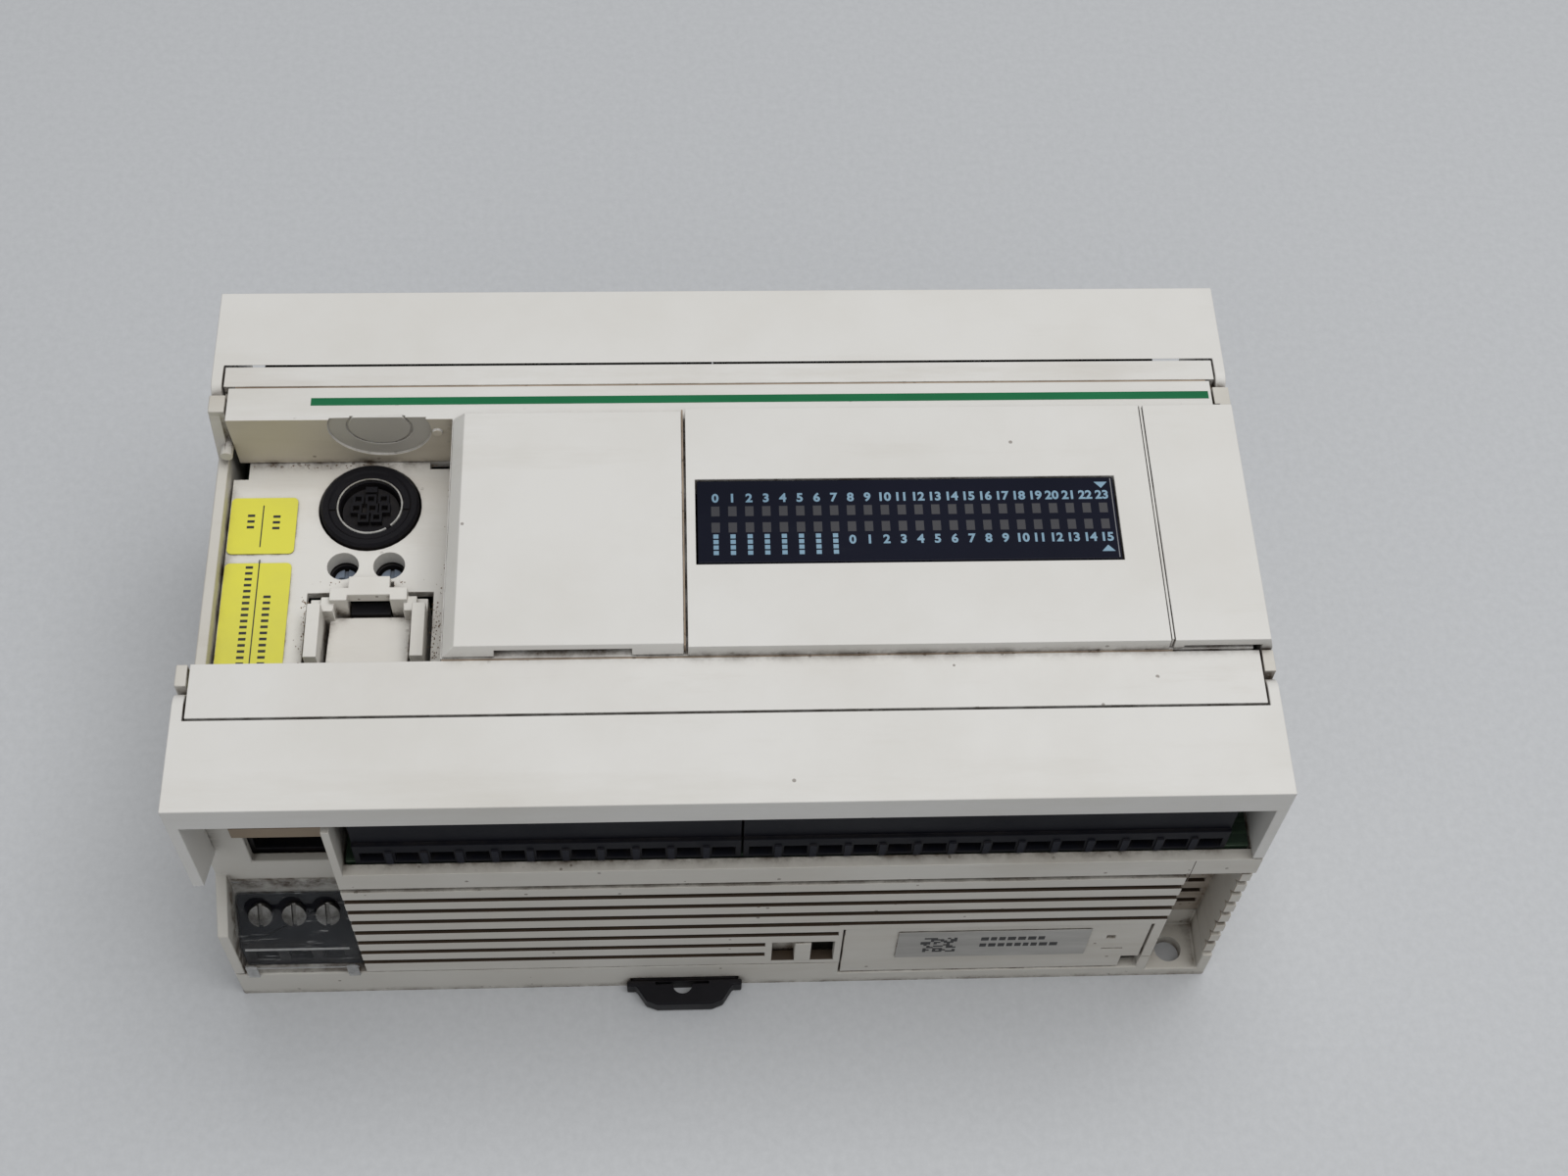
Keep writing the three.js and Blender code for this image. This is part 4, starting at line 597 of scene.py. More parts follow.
rng = random.Random(11)
for row in (
    "output_terminals_left", "output_terminals_right", "input_terminals_left", "input_terminals_right"
):
    moulded(row + "_housing", row, 0.12, "terminal_plastic", terminal_navy)
    low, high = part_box(row)
    side = -1 if row.startswith("output") else 1
    face = low.y if side < 0 else high.y
    metal = bmesh.new()
    ribs = bmesh.new()
    ways = round((high.x - low.x) / PITCH)
    for way in range(ways):
        x = low.x + (way + 0.5) * PITCH
        inner = sorted((face - side * 1.9 * MM, face - side * 2.9 * MM))
        clamp = [(x - 1.6 * MM, inner[0], low.z + 0.8 * MM), (x + 1.6 * MM, inner[1], low.z + 3.3 * MM)]
        add_box(metal, *clamp)
        well = (x, face - side * 5.4 * MM, high.z - 2.8 * MM)
        add_screw_head(metal, well, 1.6 * MM, 1.3 * MM, slot_angle=rng.uniform(0, math.pi))
        if way:
            edge = low.x + way * PITCH
            rib_y = sorted((face + side * 0.3 * MM, face - side * 0.8 * MM))
            add_box(
                ribs,
                (edge - 0.5 * MM, rib_y[0], low.z + 0.3 * MM),
                (edge + 0.5 * MM, rib_y[1], low.z + 3.9 * MM),
            )
    add_piece(row + "_clamps", metal, "controller", "screw_steel", screw_steel)
    add_piece(row + "_ribs", ribs, "controller", "terminal_plastic", rib_navy)

# --- Network socket --------------------------------------------------------------------------
# A modular jack in the recessed corner, in black plastic with eight gold-flashed spring wires
# that hang from its roof.
moulded("network_jack", "network_socket", 0.15, "black_plastic", black_plastic)
gold, tree, shader = start_material("gold_flash", Metallic=1.0)
worn = add_noise(tree, Scale=3000.0, Detail=3.0)
paint(tree, shader, worn, (0.55, 0.40, 0.16, 1), (0.80, 0.62, 0.30, 1))
tree.links.new(add_line(tree, worn, 0.25, 0.15), shader.inputs["Roughness"])
low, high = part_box("network_socket")
middle = (low + high) / 2
springs = bmesh.new()
for i in range(8):
    x = middle.x + (i - 3.5) * 1.02 * MM
    points = [(low.y + 1.5 * MM, low.z + 9.0 * MM), (low.y + 8.5 * MM, low.z + 4.2 * MM)]
    (y0, z0), (y1, z1) = points
    box = add_box(springs, (x - 0.15 * MM, y0, z0 - 0.15 * MM), (x + 0.15 * MM, y1, z0 + 0.15 * MM))
    for vertex in box:
        if vertex.co.y > (y0 + y1) / 2:
            vertex.co.z += z1 - z0
add_piece("network_springs", springs, "controller", "plated_ring", gold)
# A tan sheet on the recess face under the socket: painted shade on that face.
tan_shade_strip = case_material("tan_shade_strip", (0.29, 0.22, 0.15, 1), (0.20, 0.14, 0.09, 1), 0.5, 0.6, 0.02)
strip = bmesh.new()
corner_y = near_low.y + CORNER_DEPTH * MM
STRIP_FOOT = 42.6 * MM
STRIP_TOP = 45.6 * MM
add_box(
    strip,
    (low.x - 0.4 * MM, corner_y - 0.18 * MM, STRIP_FOOT),
    (high.x - 0.5 * MM, corner_y + 0.1 * MM, STRIP_TOP),
)
add_piece("network_shaded_face", strip, "controller", "yellow_label", tan_shade_strip)

# --- Power terminals -------------------------------------------------------------------------
# Three captive screws in a navy-black block, under a thin polycarbonate guard that is smoky grey,
# scratched by screwdrivers and bent down over the wires. A painted highlight runs along its fold and its
# lower edge, and its feet are paler.
moulded("power_block", "power_terminals", 0.15, "black_plastic", terminal_navy)
for way in ("left", "middle", "right"):
    screw = cad_shape("power_screw_" + way)
    round_edges(screw, 0.1 * MM)
    screw = add_piece("power_screw_head_" + way, screw, "controller", "screw_steel", screw_steel)
    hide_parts("power_screw_" + way)

scratch_group, scratch_in, scratch_out = make_group("screwdriver_scratches", {"Amount": 1.0}, ["Mask"])
place = add_node(scratch_group, "TexCoord").outputs["Object"]
total = 0.0
for angle, stretch in ((0.5, 170.0), (1.9, 260.0), (2.6, 140.0)):
    turned = add_node(
        scratch_group, "Mapping", Vector=place, Rotation=(0.4, 0.1, angle), Scale=(stretch, 2600.0, 900.0)
    )
    hair = add_node(scratch_group, "TexNoise", Vector=turned.outputs["Vector"], Scale=1.0, Detail=2.0)
    line = add_ramp(scratch_group, hair.outputs["Fac"], [(0.68, 0), (0.74, 1)])
    total = add_math(scratch_group, "ADD", total, line, clamp=True)
scratch_group.links.new(
    add_math(scratch_group, "MULTIPLY", total, scratch_in.outputs["Amount"]), scratch_out.inputs["Mask"]
)

smoky, tree, shader = start_material("smoky_guard", IOR=1.58, Transmission_Weight=0.0)
scratches = use_group(tree, scratch_group, Amount=1.0)
grain = use_group(tree, grain_group, Fineness=900.0)
clouded = add_line(tree, grain.outputs["Mottle"], 0.08, 0.07)
opaque = add_math(
    tree, "ADD", clouded, add_math(tree, "MULTIPLY", scratches.outputs["Mask"], 0.28), clamp=True
)
tree.links.new(opaque, shader.inputs["Alpha"])
paint(tree, shader, scratches.outputs["Mask"], (0.20, 0.21, 0.22, 1), (0.55, 0.55, 0.54, 1))
tree.links.new(add_line(tree, scratches.outputs["Mask"], 0.4, 0.12), shader.inputs["Roughness"])
add_bump(tree, shader, scratches.outputs["Mask"], 0.03 * MM)
moulded("power_guard", "power_terminal_cover", 0.15, "smoky_plastic", smoky)


def grained_finish(name, fineness, first, second, **sockets):
    """A finish that wanders between two colours, with its tree, its shader and its grain."""
    material, tree, shader = start_material(name, **sockets)
    grain = use_group(tree, grain_group, Fineness=fineness)
    paint(tree, shader, grain.outputs["Mottle"], first, second)
    return material, tree, shader, grain


# Pale strips along the guard's fold and lower edge are a painted highlight; the two feet are real bumps in
# the same pale clear plastic.
edge_highlight_and_feet, tree, shader, grain = grained_finish(
    "edge_highlight_and_feet", 1200.0, (0.50, 0.505, 0.50, 1), (0.30, 0.30, 0.295, 1), Roughness=0.2, IOR=1.55
)
tree.links.new(add_line(tree, grain.outputs["Height"], 0.5, 0.35), shader.inputs["Alpha"])
low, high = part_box("power_terminal_cover")
FOLD = 17.7 * MM
highlight_and_feet = bmesh.new()
add_box(
    highlight_and_feet,
    (low.x + 1.2 * MM, low.y - 0.03 * MM, FOLD - 0.2 * MM),
    (high.x - 1.2 * MM, low.y + 0.25 * MM, FOLD + 0.15 * MM),
)
add_box(
    highlight_and_feet,
    (low.x + 0.6 * MM, low.y - 0.03 * MM, low.z),
    (high.x - 0.6 * MM, low.y + 0.2 * MM, low.z + 0.2 * MM),
)
for x in (low.x + 1.1 * MM, high.x - 1.6 * MM):
    add_box(
        highlight_and_feet,
        (x - 0.9 * MM, low.y - 0.45 * MM, low.z - 2.4 * MM),
        (x + 0.9 * MM, low.y - 0.12 * MM, low.z + 1.4 * MM),
    )
    add_box(
        highlight_and_feet,
        (x - 0.45 * MM, low.y - 0.15 * MM, low.z + 0.1 * MM),
        (x + 0.45 * MM, low.y + 0.1 * MM, low.z + 1.2 * MM),
    )
round_edges(highlight_and_feet, 0.06 * MM)
add_piece("guard_highlight_and_feet", highlight_and_feet, "power_lid", "smoky_plastic", edge_highlight_and_feet)

# --- Battery, its door and the slide beside it -----------------------------------------------
# A half-size cell in a black tub, behind a snap-in door of the case plastic. The door has a thin
# silver-grey label with a plain block pattern, and the small slide beside it is off-white too.
cell_metal, tree, shader = start_material("cell_sleeve", Metallic=0.6, Roughness=0.35)
place = add_node(tree, "TexCoord").outputs["Object"]
bands = add_node(tree, "TexWave", {"bands_direction": "X"}, Vector=place, Scale=46.0).outputs["Fac"]
paint(tree, shader, add_ramp(tree, bands, [(0.45, 0), (0.5, 1)]), (0.28, 0.30, 0.33, 1), (0.10, 0.13, 0.2, 1))
add_bump(tree, shader, bands, 0.02 * MM, 0.3)
moulded("battery_cell", "battery", 0.4, "cell_sleeve", cell_metal)
moulded("battery_tub", "battery_holder", 0.2, "black_plastic", black_plastic)
# The door and the slide take the darker side plastic: painted shade.
moulded("battery_lid", "battery_door", 0.15, "case_plastic", shaded_side_plastic)
moulded("mode_slide", "slider", 0.2, "case_plastic", shaded_side_plastic)

silver_paper, tree, shader = start_material("silver_label", Roughness=0.5)
grain = use_group(tree, grain_group, Fineness=2600.0)
marks = use_group(tree, rub_group, Amount=0.9)
worn = mix_colour(tree, grain.outputs["Mottle"], (0.36, 0.345, 0.325, 1), (0.30, 0.288, 0.268, 1))
paint(tree, shader, marks.outputs["Mask"], worn, (0.50, 0.49, 0.46, 1))
add_bump(tree, shader, grain.outputs["Height"], 0.02 * MM, 0.4)
moulded("door_label", "battery_door_label", 0.04, "silver_label", silver_paper)

print_black, tree, shader = start_material("print_black", Roughness=0.6)
grain = use_group(tree, grain_group, Fineness=5000.0)
paint(tree, shader, grain.outputs["Height"], (0.010, 0.010, 0.011, 1), (0.035, 0.034, 0.034, 1))
low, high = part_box("battery_door_label")
pattern = bmesh.new()
rng = random.Random(5)
CELLS = 11
cell = 0.52 * MM
corner = Vector((low.x + 3.7 * MM, low.y - 0.02 * MM, low.z + 2.1 * MM))
for i in range(CELLS):
    for j in range(CELLS):
        if rng.random() < 0.5:
            start = corner + Vector((i * cell, 0, j * cell))
            add_box(pattern, start, start + Vector((cell, 0.03 * MM, cell)))
for line, dashes in ((6.4, 7), (3.9, 9)):
    x = low.x + 13.2 * MM
    for i in range(dashes):
        wide = rng.uniform(0.8, 1.3) * MM
        add_box(
            pattern,
            (x, low.y - 0.02 * MM, low.z + line * MM),
            (x + wide, low.y + 0.01 * MM, low.z + (line + 1.3) * MM),
        )
        x += wide + 0.35 * MM
add_piece("door_label_print", pattern, "battery_lid", "silver_label", print_black)

# --- Front frame, centre front and green line -------------------------------------------------
# The front mouldings: a frame round the terminal covers and the centre front with its raised
# panel. A green line is printed on the strip above the panel.
strip_plastic = case_material("strip_plastic", CASE, (0.50, 0.455, 0.39, 1), 0.9, 0.5, 0.006)
# The sunk faces of the round relief are painted darker than the case plastic and greyer than the wall:
# painted shade in the recess.
shaded_relief_tan = case_material("shaded_relief_tan", (0.52, 0.495, 0.455, 1), (0.44, 0.41, 0.36, 1), 0.6, 0.4)
tray_low, tray_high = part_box("bay_tray")
port_low, port_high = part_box("serial_port")
RELIEF = Vector(((port_low.x + port_high.x) / 2 / MM + 2.2, 64.6))
RELIEF_RADIUS = 8.2
WALL_FOOT = 23.8
WALL_LEAN = 1.1 / 13.2
# The bay's upper wall, turned away from the light, is painted darker and browner: painted shade, with dust in
# its corners.
shaded_wall_tan = case_material("shaded_wall_tan", (0.60, 0.545, 0.455, 1), (0.46, 0.40, 0.31, 1), 1.0, 0.5, 0.03)


def wall_finish(middle, normal):
    """1 on the sunk faces of the round relief in the bay's upper wall, 2 on that wall, 0 elsewhere."""
    behind = middle.y - (WALL_FOOT - (middle.z - tray_high.z / MM) * WALL_LEAN)
    if normal.y > -0.8 or middle.x > tray_high.x / MM or abs(behind) > 1.0:
        return 0
    across = (Vector((middle.x, middle.z)) - RELIEF).length
    return 1 if across < RELIEF_RADIUS and behind > 0.2 else 2


moulded("frame_moulding", "front_frame", 0.12, "case_plastic", strip_plastic)
moulded(
    "centre_front", "front_bezel", 0.12, "case_plastic", case_plastic, shaded_relief_tan, shaded_wall_tan, pick=wall_finish
)
green_ink, tree, shader = start_material("green_ink", Roughness=0.5, Specular_IOR_Level=0.25)
grain = use_group(tree, grain_group, Fineness=2400.0)
marks = use_group(tree, rub_group, Amount=0.2)
even_ink = mix_colour(tree, grain.outputs["Mottle"], (0.001, 0.125, 0.042, 1), (0.002, 0.15, 0.052, 1))
paint(tree, shader, marks.outputs["Mask"], even_ink, (0.05, 0.21, 0.11, 1))
bezel_low, bezel_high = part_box("front_bezel")
strip_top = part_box("front_frame")[1].z
line = bmesh.new()
line_y = bezel_high.y - 3.4 * MM
add_box(
    line,
    (bezel_low.x + 12.7 * MM, line_y, strip_top),
    (bezel_high.x - 0.5 * MM, line_y + 1.4 * MM, strip_top + 0.03 * MM),
)
add_piece("green_line", line, "controller", "case_plastic", green_ink)

seam_dust = case_material("seam_dust", (0.36, 0.285, 0.215, 1), (0.15, 0.10, 0.065, 1), 0.6, 1.0, 0.3)
lid_low, lid_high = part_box("display_cover")
side_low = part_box("expansion_cover")[0]
fills = bmesh.new()
top = lid_high.z
add_box(
    fills,
    (lid_high.x + 0.03 * MM, lid_low.y + 0.5 * MM, top - 2.2 * MM),
    (lid_high.x + 0.27 * MM, lid_high.y, top - 0.35 * MM),
)
add_box(
    fills,
    (bezel_low.x + 1 * MM, bezel_high.y + 0.02 * MM, strip_top - 1.2 * MM),
    (bezel_high.x - 0.6 * MM, bezel_high.y + 0.28 * MM, strip_top - 0.12 * MM),
)
add_box(
    fills,
    (lid_low.x, lid_low.y - 0.28 * MM, strip_top - 1.2 * MM),
    (side_low.x, lid_low.y - 0.02 * MM, strip_top - 0.15 * MM),
)
add_piece("seam_fills", fills, "controller", "case_plastic", seam_dust)
bead = bmesh.new()
middle_x = side_low.x - 0.3 * MM
add_box(
    bead,
    (middle_x - 0.17 * MM, lid_low.y + 0.3 * MM, top - 2.2 * MM),
    (middle_x + 0.15 * MM, lid_high.y, top - 0.08 * MM),
)
round_edges(bead, 0.05 * MM)
add_piece("seam_bead", bead, "controller", "case_plastic", strip_plastic)

# --- Port bay --------------------------------------------------------------------------------
# The open bay at the left: its floor, the round eight-way socket with a plated ring, two slotted
# trimmers, the bracket for a memory cartridge and two yellow paper labels.
bay_plastic = case_material("bay_plastic", (0.74, 0.72, 0.68, 1), (0.52, 0.46, 0.38, 1), 1.0, 0.35, 0.02)
moulded("bay_floor", "bay_tray", 0.12, "case_plastic", bay_plastic)
moulded("cartridge_guide", "cartridge_bracket", 0.15, "case_plastic", bay_plastic)
low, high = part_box("cartridge_bracket")
middle_x = (low.x + high.x) / 2
memory = bmesh.new()
add_box(
    memory,
    (middle_x - 3.0 * MM, high.y - 4.5 * MM, low.z + 1.7 * MM),
    (middle_x + 3.0 * MM, high.y - 2.4 * MM, low.z + 6.4 * MM),
)
round_edges(memory, 0.15 * MM)
add_piece("memory_connector", memory, "controller", "black_plastic", black_plastic)

low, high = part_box("serial_port")
centre = (low + high) / 2
reach = (high.x - low.x) / 2
top = high.z - low.z
collar = bmesh.new()
profile = [
    (0.0, 0.5 * MM),
    (reach - 2.9 * MM, 0.5 * MM),
    (reach - 2.9 * MM, top - 0.9 * MM),
    (reach - 2.3 * MM, top - 0.25 * MM),
]
profile += [
    (reach - 1.5 * MM, top - 0.25 * MM),
    (reach - 1.2 * MM, top),
    (reach - 0.4 * MM, top),
    (reach, top - 0.4 * MM),
]
profile += [(reach, 0.0), (0.0, 0.0)]
add_turned(collar, profile, (centre.x, centre.y, low.z), steps=72)
for side in (1, -1):
    x = centre.x + side * (reach - 1.9 * MM)
    add_box(
        collar,
        (x - 0.5 * MM, centre.y - 0.9 * MM, high.z - 0.6 * MM),
        (x + 0.5 * MM, centre.y + 0.3 * MM, high.z + 0.1 * MM),
    )
collar = add_piece("port_collar", collar, "controller", "black_plastic", black_plastic)
insert = bmesh.new()
insert_top = high.z - 0.5 * MM
add_turned(
    insert,
    [(0, 0), (4.4 * MM, 0), (4.4 * MM, insert_top - low.z - 1.6 * MM), (0, insert_top - low.z - 1.6 * MM)],
    (centre.x, centre.y, low.z),
    steps=56,
)
add_box(
    insert,
    (centre.x - 0.9 * MM, centre.y + 2.9 * MM, insert_top - 1.7 * MM),
    (centre.x + 0.9 * MM, centre.y + 3.9 * MM, insert_top - 0.4 * MM),
)
frames = [(1.7, (-1.95, 0, 1.95)), (0, (-2.2, 0.3, 2.2)), (-1.7, (-1.0, 1.0))]
for dy, columns in frames:
    for dx in columns:
        x, y = centre.x + dx * MM, centre.y + dy * MM
        outer, inner = 0.85 * MM, 0.48 * MM
        for ax, bx, ay, by in (
            (-outer, outer, inner, outer),
            (-outer, outer, -outer, -inner),
            (-outer, -inner, -inner, inner),
            (inner, outer, -inner, inner),
        ):
            add_box(insert, (x + ax, y + ay, insert_top - 1.7 * MM), (x + bx, y + by, insert_top - 0.5 * MM))
add_piece("port_insert", insert, "controller", "black_plastic", black_plastic)
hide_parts("serial_port")

low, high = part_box("serial_port_ring")
ring = bmesh.new()
outer = (high.x - low.x) / 2
ARC = 60
SPLIT = math.radians(-52)
inner = outer - 0.32 * MM
stations = []
for i in range(ARC + 1):
    angle = SPLIT + math.radians(5) + i * (math.tau - math.radians(10)) / ARC
    out = Vector((math.cos(angle), math.sin(angle), 0))
    section = [
        (outer, low.z),
        (outer, high.z - 0.08 * MM),
        (outer - 0.08 * MM, high.z),
        (inner, high.z),
        (inner, low.z),
    ]
    stations.append([ring.verts.new((centre.x + out.x * r, centre.y + out.y * r, z)) for r, z in section])
for before, after in zip(stations, stations[1:]):
    for i in range(5):
        j = (i + 1) % 5
        ring.faces.new([before[i], before[j], after[j], after[i]])
ring.faces.new(stations[0])
ring.faces.new(stations[-1])
ring = add_piece("port_ring", ring, "controller", "plated_ring", tin)
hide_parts("serial_port_ring")

trimmer_blue = black_material("trimmer_blue", (0.17, 0.205, 0.26, 1), 0.3, 0.5)
for side in ("left", "right"):
    moulded("trimmer_disc_" + side, "trimmer_" + side, 0.08, "trimmer_plastic", trimmer_blue)
moulded("trimmer_block", "trimmer_body", 0.15, "black_plastic", black_plastic)

# Crumbs of brown dirt lie in the bay's corners and round the bracket.
crumb_brown = grained_finish(
    "crumb_brown",
    2600.0,
    (0.26, 0.165, 0.10, 1),
    (0.11, 0.07, 0.042, 1),
    Roughness=0.9,
    Specular_IOR_Level=0.1,
)[0]
low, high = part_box("cartridge_bracket")
floor_z = tray_high.z
edges = (
    ((tray_high.x - 2.2 * MM, high.y), (tray_high.x - 2.0 * MM, low.y + 1 * MM), 0.6, 110),
    ((high.x + 0.9 * MM, high.y - 3 * MM), (high.x + 1.1 * MM, low.y + 1 * MM), 0.6, 90),
    ((low.x - 0.6 * MM, high.y - 2 * MM), (low.x - 0.5 * MM, low.y + 1 * MM), 0.4, 60),
    ((low.x - 0.2 * MM, high.y + 0.3 * MM), (high.x + 1.5 * MM, high.y + 0.3 * MM), 0.3, 30),
    ((tray_high.x - 2.4 * MM, tray_high.y - 6 * MM), (tray_high.x - 2.2 * MM, high.y), 0.35, 60),
    (
        (tray_low.x + 2.5 * MM, tray_high.y - 1.7 * MM),
        (tray_high.x - 4 * MM, tray_high.y - 1.7 * MM),
        0.2,
        40,
    ),
)
dice = random.Random(11)
crumbs = bmesh.new()
for (x0, y0), (x1, y1), spread, count in edges:
    for i in range(count):
        along = dice.random()
        size = dice.uniform(0.03, 0.12) * MM
        x = x0 + (x1 - x0) * along + dice.gauss(0, spread) * MM
        y = y0 + (y1 - y0) * along + dice.gauss(0, spread) * MM
        turn = Matrix.Rotation(dice.uniform(0, 3.1), 4, "Z")
        where = Matrix.Translation((min(x, tray_high.x - 2.0 * MM), y, floor_z + 0.4 * size))
        bmesh.ops.create_icosphere(crumbs, subdivisions=1, radius=size, matrix=where @ turn)
add_piece("bay_crumbs", crumbs, "controller", "case_plastic", crumb_brown)

yellow_paper, tree, shader = start_material("yellow_label", Roughness=0.55)
grain = use_group(tree, grain_group, Fineness=1800.0)
corners = use_group(tree, dust_and_shade_group, Reach=0.002, Amount=0.6)
paper = mix_colour(tree, grain.outputs["Mottle"], (0.74, 0.70, 0.070, 1), (0.66, 0.62, 0.085, 1))
# Brown where the label meets other faces: dirt, and painted shade.
paint(tree, shader, corners.outputs["Mask"], paper, (0.30, 0.22, 0.05, 1))
add_bump(tree, shader, grain.outputs["Height"], 0.03 * MM, 0.5)


def rounded_plate(low, high, radius, steps=6):
    """A flat sheet between two corners, with rounded corners."""
    sheet = bmesh.new()
    ring = []
    for cx, cy, start in (
        (high.x - radius, high.y - radius, 0),
        (low.x + radius, high.y - radius, 90),
        (low.x + radius, low.y + radius, 180),
        (high.x - radius, low.y + radius, 270),
    ):
        for i in range(steps + 1):
            angle = math.radians(start + 90 * i / steps)
            ring.append((cx + radius * math.cos(angle), cy + radius * math.sin(angle)))
    under = [sheet.verts.new((x, y, low.z)) for x, y in ring]
    over = [sheet.verts.new((x, y, high.z)) for x, y in ring]
    sheet.faces.new(under)
    sheet.faces.new(over)
    for i in range(len(ring)):
        j = (i + 1) % len(ring)
        sheet.faces.new([under[i], under[j], over[j], over[i]])
    return sheet


for label, rule_x, rule_y, dashes in (
    ("clock_label", 5.0, (1.2, 8.8), ((2.7, 4.6, 3), (6.6, 4.4, 3))),
    ("address_label", 5.2, (2.0, 24.6), ((3.2, 2.0, 21), (6.3, 2.0, 16))),
):
    low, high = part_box(label)
    sheet = add_piece(
        label + "_paper", rounded_plate(low, high, 0.8 * MM), "controller", "yellow_label", yellow_paper
    )
    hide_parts(label)
    mark = bmesh.new()
    x = low.x + rule_x * MM
    add_box(
        mark,
        (x - 0.09 * MM, low.y + rule_y[0] * MM, high.z),
        (x + 0.09 * MM, low.y + rule_y[1] * MM, high.z + 0.02 * MM),
    )
    for dx, dy, count in dashes:
        for i in range(count):
            y = low.y + (dy + 1.05 * i) * MM
            add_box(
                mark,
                (low.x + dx * MM, y, high.z),
                (low.x + (dx + 1.1) * MM, y + 0.45 * MM, high.z + 0.02 * MM),
            )
    add_piece(label + "_print", mark, "controller", "yellow_label", print_black)

# --- Lamp window -----------------------------------------------------------------------------
# A smooth navy film over the indicator lamps. Two rows of small square windows let the light
# guide's posts through, with pale blue numerals above and below them.
window_film, tree, shader = start_material("window_film", IOR=1.45, Specular_IOR_Level=0.2)
grain = use_group(tree, grain_group, Fineness=1500.0)
marks = use_group(tree, rub_group, Amount=0.5)
paint(tree, shader, grain.outputs["Mottle"], (0.0045, 0.0055, 0.013, 1), (0.0065, 0.0075, 0.017, 1))
tree.links.new(add_line(tree, marks.outputs["Mask"], 0.25, 0.2), shader.inputs["Roughness"])
add_bump(tree, shader, grain.outputs["Height"], 0.01 * MM, 0.3)
moulded("lamp_window", "led_window", 0.08, "window_plastic", window_film)
low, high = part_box("led_window")
# A pale grey line along the window's right edge: a painted highlight on its bevel.
highlight_line = bmesh.new()
add_box(
    highlight_line,
    (high.x - 0.42 * MM, low.y + 0.2 * MM, high.z),
    (high.x - 0.28 * MM, high.y - 0.2 * MM, high.z + 0.02 * MM),
)
highlight_grey = grained_finish("highlight_grey", 2500.0, (0.30, 0.30, 0.31, 1), (0.16, 0.16, 0.17, 1), Roughness=0.4)[0]
add_piece("window_edge_highlight", highlight_line, "controller", "window_plastic", highlight_grey)

guide_clear, tree, shader, grain = grained_finish(
    "guide_clear", 900.0, (0.75, 0.76, 0.74, 1), (0.85, 0.86, 0.84, 1), IOR=1.49, Transmission_Weight=0.6
)
tree.links.new(add_line(tree, grain.outputs["Mottle"], 0.1, 0.15), shader.inputs["Roughness"])
moulded("lamp_guide", "light_guide", 0.1, "clear_plastic", guide_clear)

low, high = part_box("led_window")
LAMPS = 24
STATUS = 8
LAMP_PITCH = 2.51 * MM
FIRST_LAMP = low.x + 2.65 * MM
UPPER_LAMPS = low.y + 8.9 * MM
LOWER_LAMPS = low.y + 6.05 * MM
lamp_grey = grained_finish(
    "lamp_grey",
    2500.0,
    (0.036, 0.036, 0.042, 1),
    (0.052, 0.051, 0.056, 1),
    Roughness=0.4,
    Specular_IOR_Level=0.3,
)[0]
lamps = bmesh.new()
for i in range(LAMPS):
    x = FIRST_LAMP + i * LAMP_PITCH
    for y in (UPPER_LAMPS, LOWER_LAMPS):
        add_box(
            lamps, (x - 0.62 * MM, y - 0.86 * MM, high.z), (x + 0.62 * MM, y + 0.86 * MM, high.z + 0.015 * MM)
        )
add_piece("lamp_squares", lamps, "controller", "window_plastic", lamp_grey)

numeral_blue = grained_finish(
    "numeral_blue",
    3000.0,
    (0.17, 0.29, 0.39, 1),
    (0.23, 0.36, 0.46, 1),
    Roughness=0.45,
    Specular_IOR_Level=0.3,
)[0]


def add_numeral(shape, number, size, x, y, z):
    """Adds a number in plain numerals, centred on x and y and lying on z."""
    curve = bpy.data.curves.new("numeral", "FONT")
    curve.body = str(number)
    curve.size = size
    curve.offset = 0.034 * size
    curve.align_x = "CENTER"
    curve.align_y = "CENTER"
    curve.extrude = 0.008 * MM
    curve.resolution_u = 3
    holder = bpy.data.objects.new("numeral", curve)
    mesh = bpy.data.meshes.new_from_object(holder)
    mesh.transform(Matrix.Translation((x, y, z)))
    shape.from_mesh(mesh)
    bpy.data.meshes.remove(mesh)
    bpy.data.objects.remove(holder)
    bpy.data.curves.remove(curve)


numerals = bmesh.new()
for i in range(LAMPS):
    add_numeral(
        numerals, i, 2.05 * MM, FIRST_LAMP + i * LAMP_PITCH, UPPER_LAMPS + 2.25 * MM, high.z + 0.01 * MM
    )
for i in range(LAMPS - STATUS):
    x = FIRST_LAMP + (i + STATUS) * LAMP_PITCH
    add_numeral(numerals, i, 2.05 * MM, x, LOWER_LAMPS - 2.35 * MM, high.z + 0.01 * MM)
for i in range(STATUS):
    x = FIRST_LAMP + i * LAMP_PITCH
    for j in range(4):
        y = LOWER_LAMPS - 1.2 * MM - j * 0.95 * MM
        add_box(numerals, (x - 0.38 * MM, y - 0.7 * MM, high.z), (x + 0.38 * MM, y, high.z + 0.018 * MM))
for y, lean in ((UPPER_LAMPS + 4.1 * MM, -1), (LOWER_LAMPS - 4.3 * MM, 1)):
    x = FIRST_LAMP + (LAMPS - 1) * LAMP_PITCH
    arrow = [
        (x - 1.0 * MM, y + lean * -0.5 * MM), (x + 1.0 * MM, y + lean * -0.5 * MM), (x, y + lean * 0.6 * MM)
    ]
    under = [numerals.verts.new((px, py, high.z)) for px, py in arrow]
    over = [numerals.verts.new((px, py, high.z + 0.018 * MM)) for px, py in arrow]
    numerals.faces.new(under)
    numerals.faces.new(over)
    for i in range(3):
        j = (i + 1) % 3
        numerals.faces.new([under[i], under[j], over[j], over[i]])
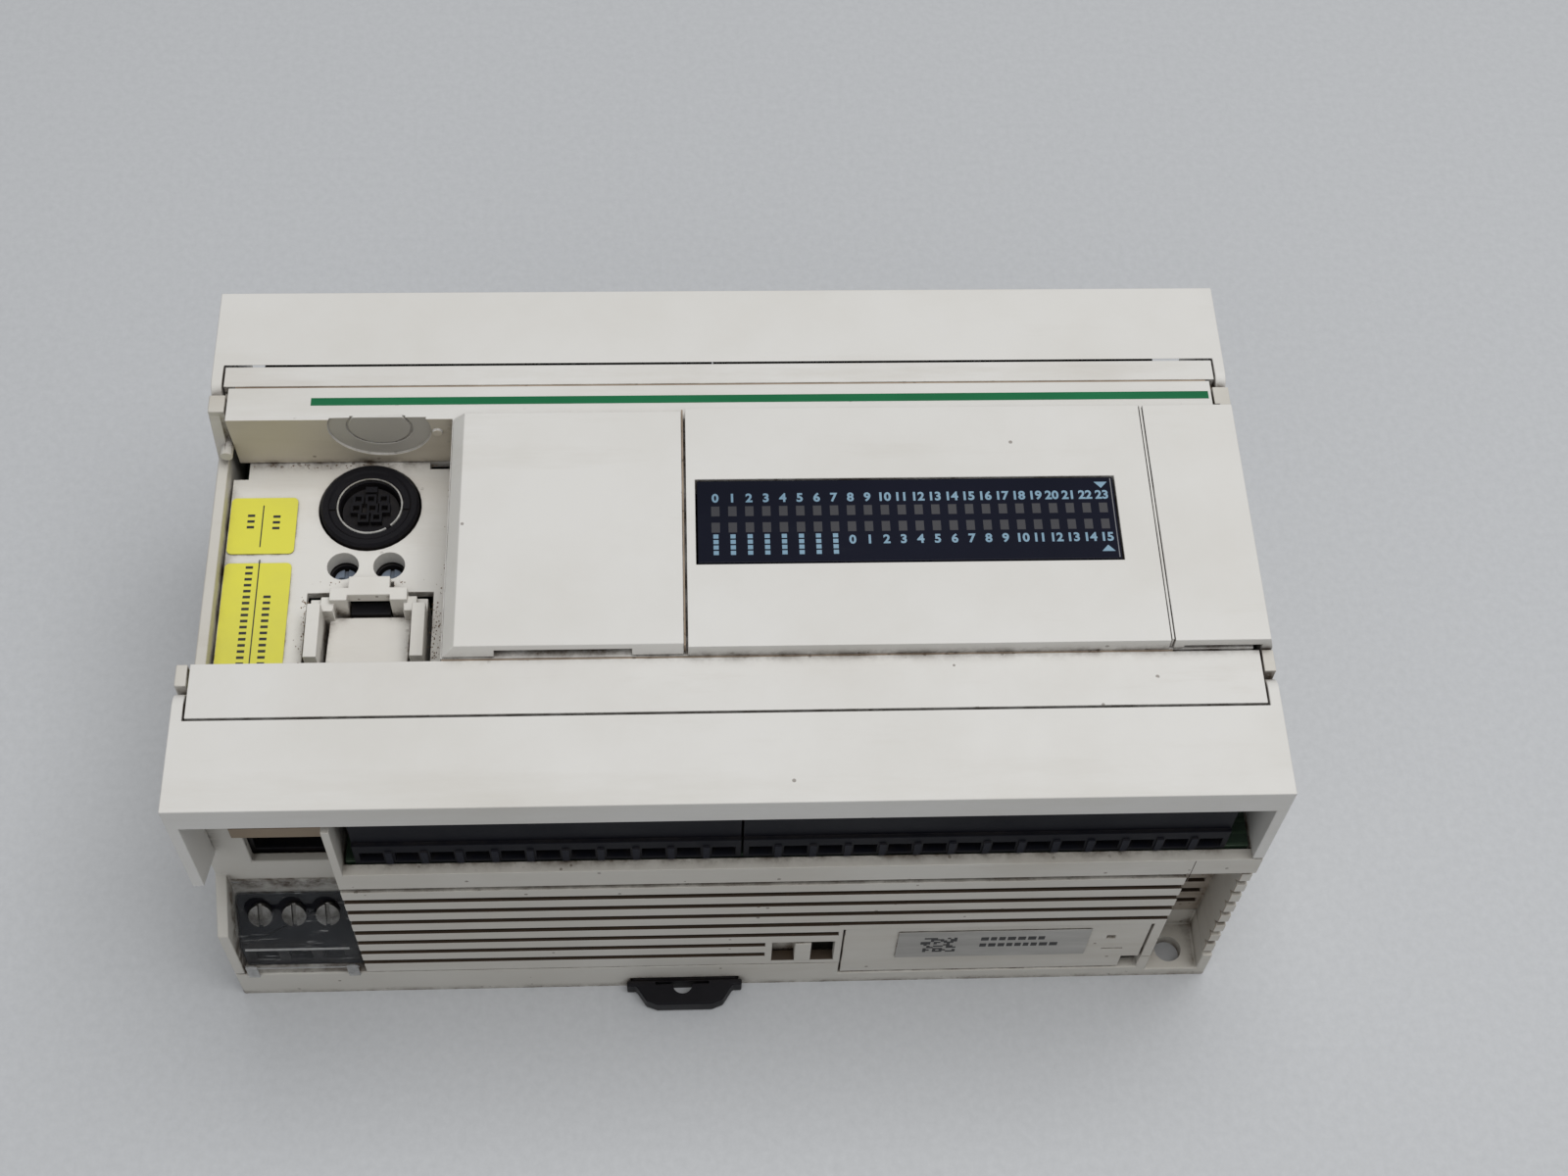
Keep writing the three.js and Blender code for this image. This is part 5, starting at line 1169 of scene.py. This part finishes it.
add_piece("window_numerals", numerals, "controller", "window_plastic", numeral_blue)

# --- Display and expansion covers and their sockets -------------------------------------------
# Two snap-in covers of the case plastic. The display cover has bevelled edges and a finger notch,
# and the expansion cover folds over the right end. Black sockets wait under both of them.
moulded("display_lid_moulding", "display_cover", 0.14, "case_plastic", case_plastic)
moulded("display_connector", "display_socket", 0.15, "black_plastic", black_plastic)
moulded("expansion_lid_moulding", "expansion_cover", 0.14, "case_plastic", case_plastic)
moulded("expansion_connector", "expansion_socket", 0.2, "black_plastic", black_plastic)

# --- Terminal covers -------------------------------------------------------------------------
# Two long lids that swing up on pins at their ends. They are moulded in the case plastic and
# carry rubs from handling, a little fainter than on the centre front.
lid_plastic = case_material("lid_plastic", CASE, CASE_SOILED, 0.9, 0.35)
moulded("upper_lid", "upper_terminal_cover", 0.2, "case_plastic", lid_plastic)
moulded("lower_lid", "lower_terminal_cover", 0.2, "case_plastic", lid_plastic)

# --- Case screws -----------------------------------------------------------------------------
# Four zinc-plated screws that hold the rear tray to the walls, deep in round pits in the back.
for corner in ("lower_left", "upper_left", "lower_right", "upper_right"):
    moulded("case_screw_head_" + corner, "case_screw_" + corner, 0.15, "screw_steel", screw_steel)

# --- Floor, light and camera -----------------------------------------------------------------
# A plain pale surface under soft daylight from above and behind, and the camera over the near
# side. None of it belongs to the object.
floor_mesh = bpy.data.meshes.new("floor")
floor_mesh.from_pydata([(-3, -3, 0), (3, -3, 0), (3, 3, 0), (-3, 3, 0)], [], [(0, 1, 2, 3)])
floor = bpy.data.objects.new("floor", floor_mesh)
bpy.context.scene.collection.objects.link(floor)
floor_paint, tree, shader = start_material("floor_paint", Roughness=0.6)
flecks = add_noise(tree, Scale=700.0, Detail=4.0, Roughness=0.7)
paint(tree, shader, flecks, (0.48, 0.49, 0.505, 1), (0.60, 0.61, 0.625, 1))
floor_mesh.materials.append(floor_paint)

world = bpy.data.worlds.new("studio")
bpy.context.scene.world = world
world.use_nodes = True
world.node_tree.nodes["Background"].inputs["Color"].default_value = (0.95, 0.975, 1.0, 1)
world.node_tree.nodes["Background"].inputs["Strength"].default_value = 0.31


def add_light(name, power, size, place, aim):
    """A square area light that faces a point."""
    lamp = bpy.data.lights.new(name, "AREA")
    lamp.energy = power
    lamp.size = size
    holder = bpy.data.objects.new(name, lamp)
    bpy.context.scene.collection.objects.link(holder)
    holder.location = place
    holder.rotation_euler = (Vector(aim) - Vector(place)).to_track_quat("-Z", "Y").to_euler()


add_light("ceiling_light", 9.2, 0.9, (0.22, 0.02, 1.15), (0, 0.02, 0))
add_light("front_fill", 0.8, 0.7, (-0.5, -0.8, 0.7), (0, 0, 0.03))

camera_data = bpy.data.cameras.new("camera")
camera_data.lens = 50.885
camera_data.sensor_width = 36
camera_data.clip_start = 0.01
camera = bpy.data.objects.new("camera", camera_data)
bpy.context.scene.collection.objects.link(camera)
right = Vector((0.998819, -0.034720, 0.033981))
forward = Vector((0.047067, 0.518266, -0.853923))
up = right.cross(forward)
camera.matrix_world = Matrix.Translation(
    (-0.007213, -0.175775, 0.343707)
) @ Matrix((right, up, -forward)).transposed().to_4x4()
bpy.context.scene.camera = camera
bpy.context.scene.view_settings.view_transform = "Standard"
